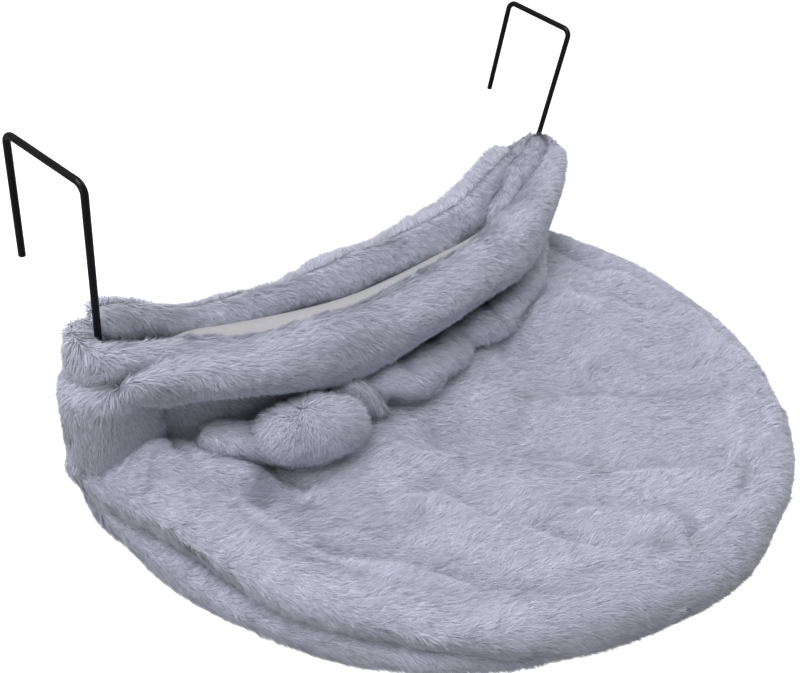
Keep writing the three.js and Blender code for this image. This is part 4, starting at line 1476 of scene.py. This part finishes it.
def make_tucks():
    """The small folds of the cover at both sides of the knob."""
    flap = [(-0.128, 0.086, 0.030, 0.006, 0.010, 0.0), (-0.112, 0.094, 0.036, 0.009, 0.017, 0.1),
            (-0.100, 0.106, 0.030, 0.009, 0.017, 0.1), (-0.092, 0.118, 0.020, 0.006, 0.010, 0.0)]
    tuck = [(-0.222, 0.056, 0.030, 0.012, 0.011, 0.0), (-0.208, 0.070, 0.030, 0.016, 0.014, 0.0),
            (-0.192, 0.084, 0.024, 0.017, 0.015, 0.0), (-0.176, 0.096, 0.016, 0.014, 0.012, 0.0)]
    for name, stops, rows, end_share, comb, seed in (
        ("flap", flap, 34, 0.12, comb_along(0.3, 0.5, -0.8), 921),
        ("tuck", tuck, 40, 0.10, comb_along(0.4, 0.6, -0.5), 932),
    ):
        bm = soft_roll(stops, 26, rows, waves((0.0006, 0, 3, 0)), end_share)
        pad(bm, f"gather_{name}_skin", None, comb, seed, 0.4)


def make_knob():
    def place(column, row):
        """Row runs from one end of the knob to the other, column round it."""
        turn = math.pi * lerp(KNOB_CUT_SHARE, 1 - KNOB_CUT_SHARE, row)
        across = KNOB_PLACE - KNOB_WIDTH / 2 * np.cos(turn)
        swell = np.sin(turn) ** KNOB_SWELL_POWER
        angle = column * 2 * math.pi
        pleat = KNOB_PLEAT * np.cos(KNOB_PLEATS * turn + 1) * swell * np.maximum(np.sin(angle), 0)
        middle = roll_out(across) + GATHER_OUT + KNOB_DEPTH / 2
        out = middle + KNOB_DEPTH / 2 * swell * np.cos(angle)
        floor = panel_height(across, out) + KNOB_OVER_PANEL
        return bed(across, out, floor + KNOB_HEIGHT / 2 * (1 + swell * np.sin(angle)) + pleat)

    parting_out = roll_out(KNOB_PLACE) + GATHER_OUT + KNOB_DEPTH * KNOB_PARTING_OUT_SHARE
    parting = bed(KNOB_PLACE - KNOB_PARTING_ASIDE, parting_out, KNOB_HEIGHT * KNOB_PARTING_UP_SHARE)

    def comb(points, normals):
        """Away from the parting on the knob's top, and down."""
        return unit(points - parting) + np.array([0, 0, -0.2])

    bm = closed_skin(48, 60, place)
    pad(bm, "gather_knob_skin", "gather_knob", comb, 1010, 0.5, length=0.0115, lean=1.2, unruly=0.36)


# Studio

FLOOR_Z = -0.95
FLOOR_SIZE = 60
SKY_LIGHT = 0.36

# Each light: its place, what it looks at, its size and its power
LIGHTS = {
    "key_light": ((-0.85, 0.05, 1.30), (0.02, -0.20, -0.2), 1.2, 31),
    "side_light": ((-1.60, -0.30, 0.15), (0.0, -0.15, -0.15), 0.9, 4),
    "right_light": ((1.20, -0.10, 1.20), (0.0, -0.15, -0.15), 1.2, 12),
}


def make_studio():
    bm = bmesh.new()
    bmesh.ops.create_grid(bm, x_segments=1, y_segments=1, size=FLOOR_SIZE)
    bmesh.ops.translate(bm, verts=bm.verts, vec=(0, 0, FLOOR_Z))
    floor_paint = Paint("studio_floor", base_color=(0.92, 0.92, 0.92, 1), roughness=0.9,
                        emission_color=(1, 1, 1, 1), emission_strength=0.85)
    floor = finish_mesh(bm, "studio_floor", floor_paint.material)
    floor.visible_diffuse = False
    floor.visible_glossy = False
    world = bpy.data.worlds.new("studio_world")
    world.use_nodes = True
    nodes, links = world.node_tree.nodes, world.node_tree.links
    rays = nodes.new("ShaderNodeLightPath")
    level = nodes.new("ShaderNodeMapRange")
    level.inputs["To Min"].default_value = SKY_LIGHT
    links.new(rays.outputs["Is Camera Ray"], level.inputs["Value"])
    links.new(level.outputs[0], nodes["Background"].inputs[1])
    nodes["Background"].inputs[0].default_value = (1, 1, 1, 1)
    bpy.context.scene.world = world
    for name, settings in LIGHTS.items():
        area_light(name, *settings)


def area_light(name, place, aim, size, power):
    data = bpy.data.lights.new(name, "AREA")
    data.shape = "DISK"
    data.size = size
    data.energy = power
    light = new_object(name, data)
    light.location = place
    light.rotation_mode = "QUATERNION"
    light.rotation_quaternion = (Vector(aim) - Vector(place)).to_track_quat("-Z", "Y")


# The camera stands as the photograph's did, by the fit to the two hooks
CAMERA_PLACE = (-0.49959, -0.44125, 0.28912)
CAMERA_AZIMUTH = -55.55
CAMERA_ELEVATION = 39.35
CAMERA_ROLL = 12.03
CAMERA_FOCUS_PIXELS = 878.7
IMAGE_WIDTH = 800


def make_camera():
    data = bpy.data.cameras.new("camera")
    data.sensor_width = 36
    data.lens = CAMERA_FOCUS_PIXELS * data.sensor_width / IMAGE_WIDTH
    data.clip_start = 0.01
    azimuth, elevation = math.radians(CAMERA_AZIMUTH), math.radians(CAMERA_ELEVATION)
    back = Vector((math.sin(azimuth) * math.cos(elevation), -math.cos(azimuth) * math.cos(elevation),
                   math.sin(elevation)))
    right = Vector((0, 0, 1)).cross(back).normalized()
    level = Matrix((right, back.cross(right), back)).transposed()
    turn = level @ Matrix.Rotation(math.radians(CAMERA_ROLL), 3, "Z")
    camera = new_object("camera", data)
    camera.matrix_world = Matrix.Translation(CAMERA_PLACE) @ turn.to_4x4()
    bpy.context.scene.camera = camera


make_camera()
make_studio()
make_hooks()
make_sleeping_panel()
make_rim()
make_under_panel()
make_under_edge()
make_front_roll()
make_mouth_folds()
make_rear_hem()
make_bands()
make_band_end("left", -1, END_LEFT)
make_band_end("right", 1, END_RIGHT)
make_lining()
make_ruffle()
make_tucks()
make_knob()

bpy.context.scene.view_settings.view_transform = "Standard"
